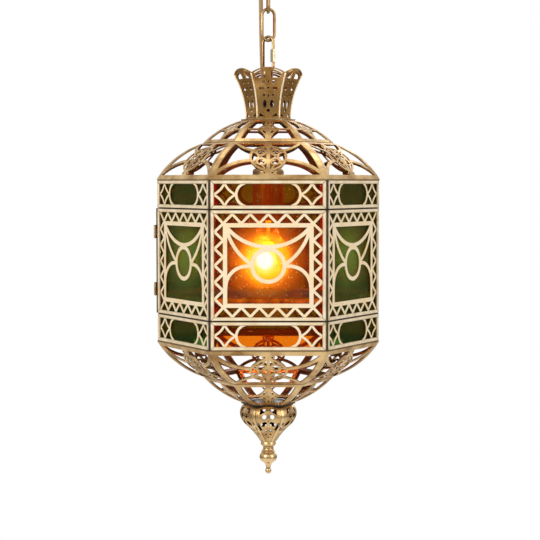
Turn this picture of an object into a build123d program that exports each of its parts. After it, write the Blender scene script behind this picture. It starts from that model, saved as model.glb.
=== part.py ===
from build123d import *
from math import atan2, cos, degrees, radians, sin, sqrt, tan
import os

os.makedirs("parts", exist_ok=True)

# A six-sided hanging lantern of pierced brass and coloured glass, in millimetres.
# z = 0 is the ceiling, the lantern hangs below it, and one flat face looks along -Y.

# ---- driving dimensions -------------------------------------------------------------
side = 150.0                 # side of the glazed hexagon, and its radius to a corner
body_top = -310.0            # upper edge of the glazed hexagon
band_height = 37.5           # the low glazed bands above and below the windows
window_height = 141.5
seam = 0.3                   # half of the dark line between two frames

frame_bar = 4.9              # width of the mitred frame strips
frame_half_width = 73.4
frame_depth = 2.2
fret_depth = 0.8
rail_depth = 1.2
glass_depth = 3.0
door_lift = 2.4              # how far the door stands proud of the other windows

panel_depth = 1.6            # sheet of the dome, bowl and crown
hip_border = 5.5             # solid border beside a corner ridge of the dome
wire = 4.0                   # chain, quick link and loops
link_height = 45.7
link_width = 20.8
cord_diameter = 5.6
swing_gap = 0.3              # play between two hanging wires

# ---- sizes that follow --------------------------------------------------------------
apothem = side * cos(radians(30))
body_height = 2 * band_height + window_height
body_bottom = body_top - body_height
body_middle = body_top - body_height / 2
upper_centre = body_top - band_height / 2
lower_centre = body_bottom + band_height / 2
band_frame_height = band_height - 2 * seam
window_frame_height = window_height - 2 * seam
opening_width = 2 * (frame_half_width - frame_bar)
band_opening = band_frame_height - 2 * frame_bar
window_opening = window_frame_height - 2 * frame_bar

fret_front = frame_depth                   # each layer's depth below the face
rail_front = fret_front + fret_depth
glass_front = rail_front + rail_depth

all_faces = [0, 1, 2, 3, 4, 5]             # 0 looks along -Y, then counter-clockwise
amber_faces = [0, 2, 4]
green_faces = [1, 3, 5]
door_face = 4


# ---- helpers ------------------------------------------------------------------------
def face_plane(face, height, depth=0.0):
    """A plane on one side of the hexagon: x along it, y up, z outwards."""
    angle = radians(60 * face - 90)
    outwards = (cos(angle), sin(angle), 0)
    centre = ((apothem - depth) * outwards[0], (apothem - depth) * outwards[1], height)
    return Plane(origin=centre, x_dir=(-sin(angle), cos(angle), 0), z_dir=outwards)


def face_planes(faces, height, depth=0.0):
    return [face_plane(face, height, depth) for face in faces]


def bar(start, end, width):
    """A straight strap with round ends between two points of a sketch."""
    along, up = end[0] - start[0], end[1] - start[1]
    with Locations(((start[0] + end[0]) / 2, (start[1] + end[1]) / 2)):
        SlotCenterToCenter(sqrt(along**2 + up**2), width, rotation=degrees(atan2(up, along)))


def arc_strap(start, middle, end, width):
    """A curved strap through three points of a sketch."""
    with BuildLine() as path:
        ThreePointArc(start, middle, end)
    trace(path.line, line_width=width)


def eyelet(centre, outer, inner):
    """A small ring."""
    with Locations(centre):
        Circle(outer)
    with Locations(centre):
        Circle(inner, mode=Mode.SUBTRACT)


# ---- patterns of the cut brass sheets -----------------------------------------------
fret_width = 2 * frame_half_width - 1.0
fret_lip = 0.6                             # how far the sheet's own edge hides in the frame

# The low bands: a wide window between two brackets, and a hollow diamond at each end.
bracket_radius = 14.8
bracket_centre = 25.7
bracket_strap = 3.3
diamond_centre = 55.2
diamond_width = 28.4                       # between the middles of its side corners
diamond_height = 29.2
diamond_waist = 5.8                        # how far its bent straps stay from its axes
diamond_strap = 2.9

with BuildSketch() as band_pattern:
    Rectangle(fret_width, band_frame_height - 1.0)
    Rectangle(opening_width + 2 * fret_lip, band_opening + 2 * fret_lip, mode=Mode.SUBTRACT)
    for hand in (-1, 1):
        edge = band_opening / 2 + 0.9
        reach = sqrt(bracket_radius**2 - edge**2)
        bracket_end = hand * (bracket_centre + reach)
        arc_strap((bracket_end, edge), (hand * (bracket_centre + bracket_radius), 0),
                  (bracket_end, -edge), bracket_strap)
        middle = hand * diamond_centre
        for across in (-1, 1):
            for up in (-1, 1):
                arc_strap((middle, up * diamond_height / 2),
                          (middle + across * diamond_waist, up * diamond_waist),
                          (middle + across * diamond_width / 2, 0), diamond_strap)

# The windows: a zigzag border round a rectangle that holds arcs and a ring.
inner_half_width = 54.6                    # middle of the inner rectangle's strap
inner_half_height = 50.9
inner_strap = 5.4
zigzag_strap = 3.4
ring_outer = 23.0
ring_inner = 17.9
curve_strap = 4.5

with BuildSketch() as window_pattern:
    Rectangle(fret_width, window_frame_height - 1.0)
    Rectangle(opening_width + 2 * fret_lip, window_opening + 2 * fret_lip, mode=Mode.SUBTRACT)
    Rectangle(2 * inner_half_width + inner_strap, 2 * inner_half_height + inner_strap)
    Rectangle(2 * inner_half_width - inner_strap, 2 * inner_half_height - inner_strap,
              mode=Mode.SUBTRACT)
    root_x, root_y = inner_half_width + 2.2, inner_half_height + 2.2
    tip_x, tip_y = opening_width / 2 - 0.6, window_opening / 2 - 0.6
    teeth = 5
    for tooth in range(teeth):
        for half in (-0.5, 0.5):
            step = 2 * root_x / teeth
            apex = (tooth - (teeth - 1) / 2) * step
            for hand in (-1, 1):
                bar((apex, hand * tip_y), (apex + half * step, hand * root_y), zigzag_strap)
            step = 2 * root_y / teeth
            apex = (tooth - (teeth - 1) / 2) * step
            for hand in (-1, 1):
                bar((hand * tip_x, apex), (hand * root_x, apex + half * step), zigzag_strap)
    for hand in (-1, 1):
        for up in (-1, 1):
            bar((hand * root_x, up * root_y), (hand * tip_x, up * tip_y), zigzag_strap)
        arc_strap((hand * 53.0, 48.0), (hand * 37.4, 15.9), (hand * 19.8, 0.6), curve_strap)
        arch_radius = 26.9
        arch_x, arch_y = hand * 26.9, -27.7
        slant = arch_radius / sqrt(2)
        arc_strap((arch_x + hand * arch_radius, arch_y),
                  (arch_x + hand * slant, arch_y + slant), (arch_x, arch_y + arch_radius),
                  curve_strap)
        bar((arch_x, arch_y + arch_radius), (hand * 21.0, -0.8), curve_strap)
    arc_strap((-53.5, 49.4), (0, 23.6), (53.5, 49.4), 4.9)
    Circle(ring_outer)
    Circle(ring_inner, mode=Mode.SUBTRACT)


# ---- bent panels of the dome, bowl and crown ----------------------------------------
def bent_panel(foot, head, bulge, holes, border, floor):
    """One pierced panel facing -Y, bent about a level axis and mitred to its neighbours.

    foot and head are (distance from the axis, height), bulge is the bend's rise over the
    chord, holes is a sketch whose y runs up the chord from the foot, border is the solid
    strip beside each mitre, and the panel stands level on floor."""
    rise, fall = head[1] - foot[1], foot[0] - head[0]
    chord = sqrt(rise**2 + fall**2)
    out_r, out_z = rise / chord, fall / chord
    middle = ((foot[0] + head[0]) / 2 + bulge * out_r, (foot[1] + head[1]) / 2 + bulge * out_z)
    inner = [(r - panel_depth * out_r, z - panel_depth * out_z) for r, z in (foot, middle, head)]
    chord_plane = Plane(origin=(0, -foot[0], foot[1]), x_dir=(1, 0, 0), z_dir=(0, -out_r, out_z))
    with BuildPart() as cut:
        with BuildSketch(chord_plane):
            add(holes)
        extrude(amount=60, both=True)
        if border:
            with BuildSketch(Plane.XY.offset(body_bottom)):
                with BuildLine():
                    Polyline((0, -2 * border), (300 * tan(radians(30)), -300 - 2 * border),
                             (-300 * tan(radians(30)), -300 - 2 * border), close=True)
                make_face()
            extrude(amount=2 * body_height, mode=Mode.INTERSECT)
    with BuildPart() as panel:
        with BuildSketch(Plane.YZ):
            with BuildLine():
                ThreePointArc(*[(-r, z) for r, z in (foot, middle, head)])
                Line((-head[0], head[1]), (-inner[2][0], inner[2][1]))
                ThreePointArc(*[(-r, z) for r, z in reversed(inner)])
                Line((-inner[0][0], inner[0][1]), (-foot[0], foot[1]))
            make_face()
        extrude(amount=side, both=True)
        with BuildSketch(Plane.XY.offset(floor)):
            with BuildLine():
                Polyline((0, -0.2), (300 * tan(radians(30)), -300.2),
                         (-300 * tan(radians(30)), -300.2), close=True)
            make_face()
        extrude(amount=2 * body_height, mode=Mode.INTERSECT)
        add(cut.part, mode=Mode.SUBTRACT)
    return panel.part


# Large panel: a round lace medallion held by arches, with two eyelets at its foot.
dome_foot = (apothem - 0.3, body_top + 1.0)
dome_waist = (75.3, body_top + 49.3)
large_chord = sqrt((dome_foot[0] - dome_waist[0])**2 + (dome_waist[1] - dome_foot[1])**2)
medallion_y = 35.5
medallion_radius = 24.3

with BuildSketch() as large_strap_work:
    for hand in (-1, 1):
        arc_strap((hand * 68.0, 7.0), (hand * 46.0, 22.5), (hand * 22.0, 29.0), 4.8)
        arc_strap((hand * 42.0, 71.0), (hand * 32.0, 55.5), (hand * 18.0, 47.5), 4.8)
        bar((hand * 3.0, 6.0), (hand * 3.0, 12.0), 3.0)
    with Locations((0, medallion_y)):
        Circle(medallion_radius)
    with Locations((0, 8.5)):
        Rectangle(5.0, 9.0)
    with Locations((0, large_chord - 9.0)):
        Rectangle(9.0, 10.0)
    for hand in (-1, 1):
        eyelet((hand * 5.2, 8.6), 3.1, 1.3)

with BuildSketch() as medallion_lace:
    Circle(medallion_radius - 3.0)
    Rectangle(4.4, 2 * medallion_radius, mode=Mode.SUBTRACT)
    for hand in (-1, 1):
        with Locations((hand * 8.9, 8.4), (hand * 8.6, -8.8)):
            Circle(7.0, mode=Mode.SUBTRACT)
        with Locations((hand * 8.9, 8.4), (hand * 8.6, -8.8)):
            Circle(4.4)
        with Locations((hand * 6.4, 7.2), (hand * 5.8, -7.6)):
            Circle(2.2, mode=Mode.SUBTRACT)
        with BuildLine():
            ThreePointArc((hand * 21.5, 9.0), (hand * 12.5, 0), (hand * 21.5, -9.0))
        trace(line_width=2.4, mode=Mode.SUBTRACT)
        with BuildLine():
            ThreePointArc((hand * 5.0, 21.0), (hand * 13.0, 13.0), (hand * 21.5, 12.0))
        trace(line_width=2.2, mode=Mode.SUBTRACT)
        with BuildLine():
            ThreePointArc((hand * 4.5, -21.0), (hand * 12.0, -13.0), (hand * 20.5, -12.5))
        trace(line_width=2.2, mode=Mode.SUBTRACT)

with BuildSketch() as large_holes:
    with Locations((0, large_chord / 2)):
        Rectangle(2 * side, large_chord - 11.6)
    add(large_strap_work.sketch, mode=Mode.SUBTRACT)
    with Locations((0, medallion_y)):
        add(medallion_lace.sketch)

large_panel = bent_panel(dome_foot, dome_waist, 6.8, large_holes.sketch, hip_border, dome_foot[1])

# Small panel: a hollow kite on two thin arms, with leaf-shaped holes.
dome_shoulder = (75.3, body_top + 49.8)
dome_head = (32.0, body_top + 79.2)
bowl_head = (32.0, body_top + 83.2)        # the bowl is a little deeper than the dome
kite_y = 24.5

with BuildSketch() as small_strap_work:
    bar((-40, kite_y), (40, kite_y), 2.8)
    with BuildLine():
        for hand in (-1, 1):
            ThreePointArc((hand * 3.2, 5.0), (hand * 7.0, 14.5), (hand * 16.0, kite_y))
            ThreePointArc((hand * 16.0, kite_y), (hand * 6.5, 34.0), (hand * 4.0, 51.0))
        Line((-3.2, 5.0), (3.2, 5.0))
        Line((-4.0, 51.0), (4.0, 51.0))
    make_face()
    for hand in (-1, 1):
        eyelet((hand * 5.4, 46.0), 2.9, 1.2)

with BuildSketch() as kite_leaves:
    for hand in (-1, 1):
        with Locations((hand * 5.0, 17.8)):
            Ellipse(3.6, 1.5, rotation=hand * 62)
        with Locations((hand * 5.4, 30.5)):
            Ellipse(3.4, 1.3, rotation=-hand * 58)
        with Locations((hand * 10.2, kite_y - 0.2)):
            Ellipse(2.4, 0.9)
    with Locations((0, kite_y)):
        Circle(1.1)
    with Locations((0, 39.5)):
        Ellipse(1.2, 3.4)



def small_panel(head):
    """A small panel from the shoulder up to head, with a level border at both ends."""
    chord = sqrt((dome_shoulder[0] - head[0])**2 + (head[1] - dome_shoulder[1])**2)
    with BuildSketch() as holes:
        with Locations((0, chord / 2)):
            Rectangle(2 * side, chord - 9.6)
        add(small_strap_work.sketch, mode=Mode.SUBTRACT)
        add(kite_leaves.sketch)
    return bent_panel(dome_shoulder, head, 3.5, holes.sketch, 5.0, body_top)


dome_small_panel = small_panel(dome_head)
bowl_small_panel = small_panel(bowl_head)

# Crown panel: a flared leaf with a round lobe, pierced with triangles, dots and slots.
crown_foot = (25.5, body_top + 81.2)
crown_tip = (43.6, body_top + 147.5)
crown_chord = sqrt((crown_tip[0] - crown_foot[0])**2 + (crown_tip[1] - crown_foot[1])**2)
lobe_foot = 61.2

with BuildSketch() as crown_holes:
    Rectangle(2 * side, 4 * crown_chord)
    with BuildLine():
        Line((-40, -2), (40, -2))
        Line((40, -2), (40, lobe_foot - 6))
        Line((40, lobe_foot - 6), (22.5, lobe_foot))
        ThreePointArc((22.5, lobe_foot), (0, crown_chord - 0.2), (-22.5, lobe_foot))
        Line((-22.5, lobe_foot), (-40, lobe_foot - 6))
        Line((-40, lobe_foot - 6), (-40, -2))
    make_face(mode=Mode.SUBTRACT)
    for hand in (-1, 1):
        for corners in (
            [(hand * 4.2, 2.6), (hand * 12.0, 2.6), (hand * 11.0, 6.8)],
            [(hand * 3.9, 53.8), (hand * 17.2, 53.8), (hand * 16.0, 58.4), (hand * 10.5, 61.6),
             (hand * 3.9, 63.4)],
        ):
            with BuildLine():
                Polyline(*corners, close=True)
            make_face()
        with Locations((hand * 4.8, 18.6)):
            Ellipse(2.5, 5.4)
        with Locations((hand * 6.0, 30.4)):
            Circle(1.8)
        with Locations((hand * 8.8, 39.4)):
            Ellipse(3.5, 2.3)
        with Locations((hand * 6.6, 48.4)):
            Circle(2.1)
        arc_strap((hand * 18.6, 60.0), (hand * 12.4, 64.0), (hand * 6.0, 65.8), 1.3)
    with Locations((0, 10.2)):
        Circle(2.1)
    with Locations((0, 29.4)):
        Ellipse(0.9, 1.9)
    with Locations((0, 40.0)):
        Circle(1.5)
    with Locations((0, 48.4)):
        Ellipse(0.8, 2.4)

crown_panel = bent_panel(crown_foot, crown_tip, -4.6, crown_holes.sketch, 0, crown_foot[1])

# ---- dome, crown and bowl -----------------------------------------------------------
with BuildPart() as dome_lower_panels:
    with PolarLocations(0, 6):
        add(large_panel)
dome_lower_panels.part.label = "dome_lower_panels"
export_step(dome_lower_panels.part, "parts/dome_lower_panels.step")

with BuildPart() as dome_upper_panels:
    with PolarLocations(0, 6):
        add(dome_small_panel)
dome_upper_panels.part.label = "dome_upper_panels"
export_step(dome_upper_panels.part, "parts/dome_upper_panels.step")

with BuildPart() as crown_panels:
    with PolarLocations(0, 6):
        add(crown_panel)
crown_panels.part.label = "crown_panels"
export_step(crown_panels.part, "parts/crown_panels.step")

with BuildPart() as bowl_large_panels:
    mirror(dome_lower_panels.part, about=Plane.XY.offset(body_middle))
bowl_large_panels.part.label = "bowl_large_panels"
export_step(bowl_large_panels.part, "parts/bowl_large_panels.step")

with BuildPart() as upturned_bowl:
    with PolarLocations(0, 6):
        add(bowl_small_panel)

with BuildPart() as bowl_small_panels:
    mirror(upturned_bowl.part, about=Plane.XY.offset(body_middle))
bowl_small_panels.part.label = "bowl_small_panels"
export_step(bowl_small_panels.part, "parts/bowl_small_panels.step")

# ---- skeleton of the glazed hexagon: posts and rails --------------------------------
post_edge = 69.0                           # inner edge of a post's leg along the face
rail_half_height = 5.0
flange_reach = 9.0

with BuildPart() as corner_posts:
    with BuildSketch(*face_planes(all_faces, body_middle, rail_front)):
        for hand in (-1, 1):
            leg_end = (apothem - rail_front) * tan(radians(30)) + 0.4
            with Locations((hand * (post_edge + leg_end) / 2, 0)):
                Rectangle(leg_end - post_edge, body_height - 2 * seam)
    extrude(amount=-rail_depth)
    with BuildSketch(Plane.XY.offset(body_bottom)):
        RegularPolygon((apothem - rail_front) / cos(radians(30)), 6)
    extrude(amount=body_height, mode=Mode.INTERSECT)
corner_posts.part.label = "corner_posts"
export_step(corner_posts.part, "parts/corner_posts.step")

with BuildPart() as band_rails:
    for height in (body_top - band_height, body_bottom + band_height):
        with BuildSketch(*face_planes(all_faces, height, rail_front)):
            Rectangle(2 * post_edge, 2 * rail_half_height)
        extrude(amount=-rail_depth)
band_rails.part.label = "band_rails"
export_step(band_rails.part, "parts/band_rails.step")


def edge_rail(flange_bottom, leg_centre):
    """One strip of the ring that closes the hexagon: a level flange and a short leg."""
    flange_outer = apothem - 0.4
    with BuildPart() as strip:
        with BuildSketch(Plane.XY.offset(flange_bottom)):
            with BuildLine():
                inner = flange_outer - flange_reach
                Polyline((-flange_outer * tan(radians(30)) + 0.1, -flange_outer),
                         (flange_outer * tan(radians(30)) - 0.1, -flange_outer),
                         (inner * tan(radians(30)) - 0.1, -inner),
                         (-inner * tan(radians(30)) + 0.1, -inner), close=True)
            make_face()
        extrude(amount=1.2)
        with BuildSketch(face_plane(0, leg_centre, rail_front)):
            Rectangle(2 * post_edge, 4.7)
        extrude(amount=-rail_depth)
    return strip.part


top_strip = edge_rail(body_top - seam, body_top - 2.65)
with BuildPart() as top_rails:
    with PolarLocations(0, 6):
        add(top_strip)
top_rails.part.label = "top_rails"
export_step(top_rails.part, "parts/top_rails.step")

with BuildPart() as bottom_rails:
    mirror(top_rails.part, about=Plane.XY.offset(body_middle))
bottom_rails.part.label = "bottom_rails"
export_step(bottom_rails.part, "parts/bottom_rails.step")


# ---- frames, frets and glass --------------------------------------------------------
def mitred_frame(height):
    """A bevelled frame of four strips, with fine mitre lines at its corners."""
    with BuildPart() as frame:
        with BuildSketch(Plane.XY.offset(-frame_depth)):
            Rectangle(2 * frame_half_width, height)
            Rectangle(opening_width, height - 2 * frame_bar, mode=Mode.SUBTRACT)
        extrude(amount=frame_depth)
        chamfer(frame.faces().sort_by(Axis.Z)[-1].edges(), 0.9)
        with BuildSketch(Plane.XY.offset(-0.4)):
            for hand in (-1, 1):
                for up in (-1, 1):
                    corner = (hand * frame_half_width, up * height / 2)
                    inner_corner = (corner[0] - hand * frame_bar, corner[1] - up * frame_bar)
                    bar(corner, inner_corner, 0.35)
        extrude(amount=0.4, mode=Mode.SUBTRACT)
    return frame.part


band_frame = mitred_frame(band_frame_height)
window_frame = mitred_frame(window_frame_height)
fixed_windows = [face for face in all_faces if face != door_face]

with BuildPart() as upper_frames:
    with Locations(*face_planes(all_faces, upper_centre)):
        add(band_frame)
upper_frames.part.label = "upper_frames"
export_step(upper_frames.part, "parts/upper_frames.step")

with BuildPart() as window_frames:
    with Locations(*face_planes(fixed_windows, body_middle)):
        add(window_frame)
window_frames.part.label = "window_frames"
export_step(window_frames.part, "parts/window_frames.step")

with BuildPart() as lower_frames:
    with Locations(*face_planes(all_faces, lower_centre)):
        add(band_frame)
lower_frames.part.label = "lower_frames"
export_step(lower_frames.part, "parts/lower_frames.step")

with BuildPart() as upper_frets:
    with BuildSketch(*face_planes(all_faces, upper_centre, fret_front)):
        add(band_pattern.sketch)
    extrude(amount=-fret_depth)
upper_frets.part.label = "upper_frets"
export_step(upper_frets.part, "parts/upper_frets.step")

with BuildPart() as window_frets:
    with BuildSketch(*face_planes(fixed_windows, body_middle, fret_front)):
        add(window_pattern.sketch)
    extrude(amount=-fret_depth)
window_frets.part.label = "window_frets"
export_step(window_frets.part, "parts/window_frets.step")

with BuildPart() as lower_frets:
    with BuildSketch(*face_planes(all_faces, lower_centre, fret_front)):
        add(band_pattern.sketch)
    extrude(amount=-fret_depth)
lower_frets.part.label = "lower_frets"
export_step(lower_frets.part, "parts/lower_frets.step")

pane_width = 140.4
band_pane_height = 32.4
window_pane_height = 136.4

with BuildPart() as upper_glass_amber:
    with BuildSketch(*face_planes(amber_faces, upper_centre, glass_front)):
        Rectangle(pane_width, band_pane_height)
    extrude(amount=-glass_depth)
upper_glass_amber.part.label = "upper_glass_amber"
export_step(upper_glass_amber.part, "parts/upper_glass_amber.step")

with BuildPart() as upper_glass_green:
    with BuildSketch(*face_planes(green_faces, upper_centre, glass_front)):
        Rectangle(pane_width, band_pane_height)
    extrude(amount=-glass_depth)
upper_glass_green.part.label = "upper_glass_green"
export_step(upper_glass_green.part, "parts/upper_glass_green.step")

with BuildPart() as window_glass_amber:
    with BuildSketch(*face_planes([0, 2], body_middle, glass_front)):
        Rectangle(pane_width, window_pane_height)
    extrude(amount=-glass_depth)
window_glass_amber.part.label = "window_glass_amber"
export_step(window_glass_amber.part, "parts/window_glass_amber.step")

with BuildPart() as window_glass_green:
    with BuildSketch(*face_planes(green_faces, body_middle, glass_front)):
        Rectangle(pane_width, window_pane_height)
    extrude(amount=-glass_depth)
window_glass_green.part.label = "window_glass_green"
export_step(window_glass_green.part, "parts/window_glass_green.step")

with BuildPart() as lower_glass_amber:
    with BuildSketch(*face_planes(amber_faces, lower_centre, glass_front)):
        Rectangle(pane_width, band_pane_height)
    extrude(amount=-glass_depth)
lower_glass_amber.part.label = "lower_glass_amber"
export_step(lower_glass_amber.part, "parts/lower_glass_amber.step")

with BuildPart() as lower_glass_green:
    with BuildSketch(*face_planes(green_faces, lower_centre, glass_front)):
        Rectangle(pane_width, band_pane_height)
    extrude(amount=-glass_depth)
lower_glass_green.part.label = "lower_glass_green"
export_step(lower_glass_green.part, "parts/lower_glass_green.step")

# Two tabs on each rail reach back between the panes and hold them by a small plate.
clip_spacing = 42.0
with BuildPart() as glass_clips:
    for height in (body_top - band_height, body_bottom + band_height):
        with BuildSketch(*face_planes(all_faces, height, glass_front)):
            with Locations((-clip_spacing, 0), (clip_spacing, 0)):
                Rectangle(8.0, 3.0)
        extrude(amount=-glass_depth)
        with BuildSketch(*face_planes(all_faces, height, glass_front + glass_depth)):
            with Locations((-clip_spacing, 0), (clip_spacing, 0)):
                Rectangle(8.0, 11.0)
        extrude(amount=-0.7)
glass_clips.part.label = "glass_clips"
export_step(glass_clips.part, "parts/glass_clips.step")

# ---- door ---------------------------------------------------------------------------
door_glass_depth = 2.0
door_front = -door_lift

with BuildPart() as door_frame:
    with Locations(face_plane(door_face, body_middle, door_front)):
        add(window_frame)
door_frame.part.label = "door_frame"
export_step(door_frame.part, "parts/door_frame.step")

with BuildPart() as door_fret:
    with BuildSketch(face_plane(door_face, body_middle, door_front + frame_depth)):
        add(window_pattern.sketch)
        Rectangle(2 * 70.4, window_frame_height, mode=Mode.INTERSECT)
    extrude(amount=-fret_depth)
door_fret.part.label = "door_fret"
export_step(door_fret.part, "parts/door_fret.step")

door_glass_front = door_front + frame_depth + fret_depth
with BuildPart() as door_glass:
    with BuildSketch(face_plane(door_face, body_middle, door_glass_front)):
        Rectangle(140.0, 136.0)
    extrude(amount=-door_glass_depth)
door_glass.part.label = "door_glass"
export_step(door_glass.part, "parts/door_glass.step")

with BuildPart() as door_knob:
    knob_height = body_middle - 4.0
    with BuildSketch(face_plane(door_face, knob_height, door_front)):
        with Locations((-frame_half_width + frame_bar / 2, 0)):
            Circle(1.3)
    extrude(amount=4.0)
    with BuildSketch(face_plane(door_face, knob_height, door_front - 4.0)):
        with Locations((-frame_half_width + frame_bar / 2, 0)):
            Circle(3.0)
    extrude(amount=3.4)
    fillet(door_knob.edges().filter_by(GeomType.CIRCLE).sort_by(SortBy.RADIUS)[-2:], 1.2)
door_knob.part.label = "door_knob"
export_step(door_knob.part, "parts/door_knob.step")

# Two butt hinges on the corner at -X. Their line stands just outside the corner, and
# their sections are drawn in the door's own face: x along it, y outwards.
hinge_out = 1.8
hinge_x = side / 2 + hinge_out * sin(radians(30))
hinge_y = hinge_out * cos(radians(30))
knuckle_radius = 2.0
pin_radius = 0.8
knuckle_length = 5.0
knuckle_pitch = 5.5
hinge_heights = (body_middle + 38.5, body_middle - 38.5)
door_angle = radians(60 * door_face - 90)


def hinge_plane(height):
    """A level plane whose x runs along the door's face towards its hinge, y outwards."""
    outwards = (cos(door_angle), sin(door_angle), 0)
    along = (-sin(door_angle), cos(door_angle), 0)
    origin = (apothem * outwards[0], apothem * outwards[1], height)
    return Plane(origin=origin, x_dir=along, z_dir=(0, 0, 1))


# x_dir cross y outwards points down, so the sections below use -y for outwards.
def knuckle_section(outline):
    with BuildLine() as leaf_edge:
        Polyline(*[(x, -y) for x, y in outline], close=True)
    make_face(leaf_edge.edges())
    with Locations((hinge_x, -hinge_y)):
        Circle(knuckle_radius)
    with Locations((hinge_x, -hinge_y)):
        Circle(pin_radius + 0.05, mode=Mode.SUBTRACT)


fixed_leaf = [(70.6, -3.0), (73.2, -3.0), (74.4, -1.6), (74.4, 0.7), (73.75, 0.7),
              (73.75, -1.6), (72.9, -2.2), (70.6, -2.2)]
door_leaf = [(70.8, -0.6), (74.6, -0.6), (75.2, 0.6), (74.6, 0.6), (73.9, 0.2), (70.8, 0.2)]

with BuildPart() as hinge_leaves_fixed:
    for height in hinge_heights:
        for step in (-1, 1):
            knuckle_bottom = height + step * knuckle_pitch - knuckle_length / 2
            with BuildSketch(hinge_plane(knuckle_bottom)):
                knuckle_section(fixed_leaf)
            extrude(amount=knuckle_length)
        with BuildSketch(hinge_plane(height - knuckle_pitch)):
            with Locations((71.9, 2.6)):
                Rectangle(2.6, 0.8)
        extrude(amount=2 * knuckle_pitch)
hinge_leaves_fixed.part.label = "hinge_leaves_fixed"
export_step(hinge_leaves_fixed.part, "parts/hinge_leaves_fixed.step")

with BuildPart() as hinge_leaves_door:
    for height in hinge_heights:
        with BuildSketch(hinge_plane(height - knuckle_length / 2)):
            knuckle_section(door_leaf)
        extrude(amount=knuckle_length)
        with BuildSketch(hinge_plane(height - 8.0)):
            with Locations((72.0, 0.2)):
                Rectangle(2.4, 0.8)
        extrude(amount=16.0)
hinge_leaves_door.part.label = "hinge_leaves_door"
export_step(hinge_leaves_door.part, "parts/hinge_leaves_door.step")

with BuildPart() as hinge_pins:
    for height in hinge_heights:
        pin_bottom = height - knuckle_pitch - knuckle_length / 2 - 0.6
        pin_length = 2 * knuckle_pitch + knuckle_length + 0.6
        with BuildSketch(hinge_plane(pin_bottom)):
            with Locations((hinge_x, -hinge_y)):
                Circle(pin_radius)
        extrude(amount=pin_length)
        with BuildSketch(hinge_plane(pin_bottom + pin_length)):
            with Locations((hinge_x, -hinge_y)):
                Circle(1.5)
        extrude(amount=1.4)
hinge_pins.part.label = "hinge_pins"
export_step(hinge_pins.part, "parts/hinge_pins.step")

# ---- base plates, stem and lamp -----------------------------------------------------
stem_radius = 5.0
stem_bore = 3.5
plate_depth = 1.5
crown_plate_z = body_top + 79.5
crown_plate_apothem = dome_head[0] - 0.4

with BuildPart() as crown_base_plate:
    with BuildSketch(Plane.XY.offset(crown_plate_z)):
        RegularPolygon(crown_plate_apothem, 6, major_radius=False)
        Circle(stem_radius + 0.1, mode=Mode.SUBTRACT)
    extrude(amount=plate_depth)
crown_base_plate.part.label = "crown_base_plate"
export_step(crown_base_plate.part, "parts/crown_base_plate.step")

stem_bottom = body_top + 6.0
stem_top = body_top + 87.0
with BuildPart() as stem_tube:
    with BuildSketch(Plane.XY.offset(stem_bottom)):
        Circle(stem_radius)
        Circle(stem_bore, mode=Mode.SUBTRACT)
    extrude(amount=stem_top - stem_bottom)
stem_tube.part.label = "stem_tube"
export_step(stem_tube.part, "parts/stem_tube.step")

nut_across = 16.0
nut_depth = 4.0
cover_top = body_top + 15.0
with BuildPart() as stem_nuts:
    for height in (crown_plate_z - nut_depth, crown_plate_z + plate_depth, cover_top):
        with BuildSketch(Plane.XY.offset(height)):
            RegularPolygon(nut_across / 2, 6, major_radius=False)
            Circle(stem_radius, mode=Mode.SUBTRACT)
        extrude(amount=nut_depth)
stem_nuts.part.label = "stem_nuts"
export_step(stem_nuts.part, "parts/stem_nuts.step")

# The hub is a thick cap over the stem's end; the cord enters through its shoulder.
hub_radius = 17.0
hub_bottom = crown_plate_z + plate_depth
hub_top = hub_bottom + 16.5
loop_top = body_top + 148.8               # centre of the lantern loop's upper wire
loop_width = 16.0
neck_top = loop_top - loop_width           # the loop is brazed into the neck's end
cord_foot = (-6.5, 10.0)
with BuildPart() as top_hub:
    with BuildSketch(Plane.XZ):
        with BuildLine():
            Polyline((14.0, hub_bottom), (hub_radius, hub_bottom), (hub_radius, hub_top - 2.5),
                     (hub_radius - 2.5, hub_top), (7.0, hub_top), (5.5, hub_top + 8.0),
                     (5.5, neck_top), (0, neck_top), (0, hub_top - 4.5),
                     (14.0, hub_top - 4.5), close=True)
        make_face()
    revolve(axis=Axis.Z)
    with BuildSketch(Plane.XY.offset(hub_bottom)):
        with Locations(cord_foot):
            Circle(cord_diameter / 2 + 0.4)
    extrude(amount=hub_top - hub_bottom, mode=Mode.SUBTRACT)
top_hub.part.label = "top_hub"
export_step(top_hub.part, "parts/top_hub.step")

# The cord's end, stripped of its sleeve, goes down the stem to the lampholder.
cavity_top = hub_top - 4.5
holder_top = body_top + 4.0
with BuildPart() as inner_lead:
    with BuildSketch(Plane.XY.offset(holder_top)):
        Circle(stem_bore - 0.7)
    extrude(amount=stem_top + 2.0 - holder_top)
inner_lead.part.label = "inner_lead"
export_step(inner_lead.part, "parts/inner_lead.step")

cover_radius = 21.0
cover_bottom = body_top - 50.0
with BuildPart() as lampholder_cover:
    with BuildSketch(Plane.XY.offset(cover_bottom)):
        Circle(cover_radius)
    extrude(amount=cover_top - cover_bottom)
    fillet(lampholder_cover.faces().sort_by(Axis.Z)[-1].edges(), 4.0)
    offset(amount=-1.0, openings=lampholder_cover.faces().sort_by(Axis.Z)[0])
    with BuildSketch(Plane.XY.offset(cover_top - 2.0)):
        Circle(stem_radius)
    extrude(amount=4.0, mode=Mode.SUBTRACT)
    with BuildSketch(Plane.XY.offset(cover_bottom)):
        with PolarLocations(cover_radius + 0.5, 28):
            Circle(1.1)
    extrude(amount=cover_top - cover_bottom - 8.0, mode=Mode.SUBTRACT)
lampholder_cover.part.label = "lampholder_cover"
export_step(lampholder_cover.part, "parts/lampholder_cover.step")

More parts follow.
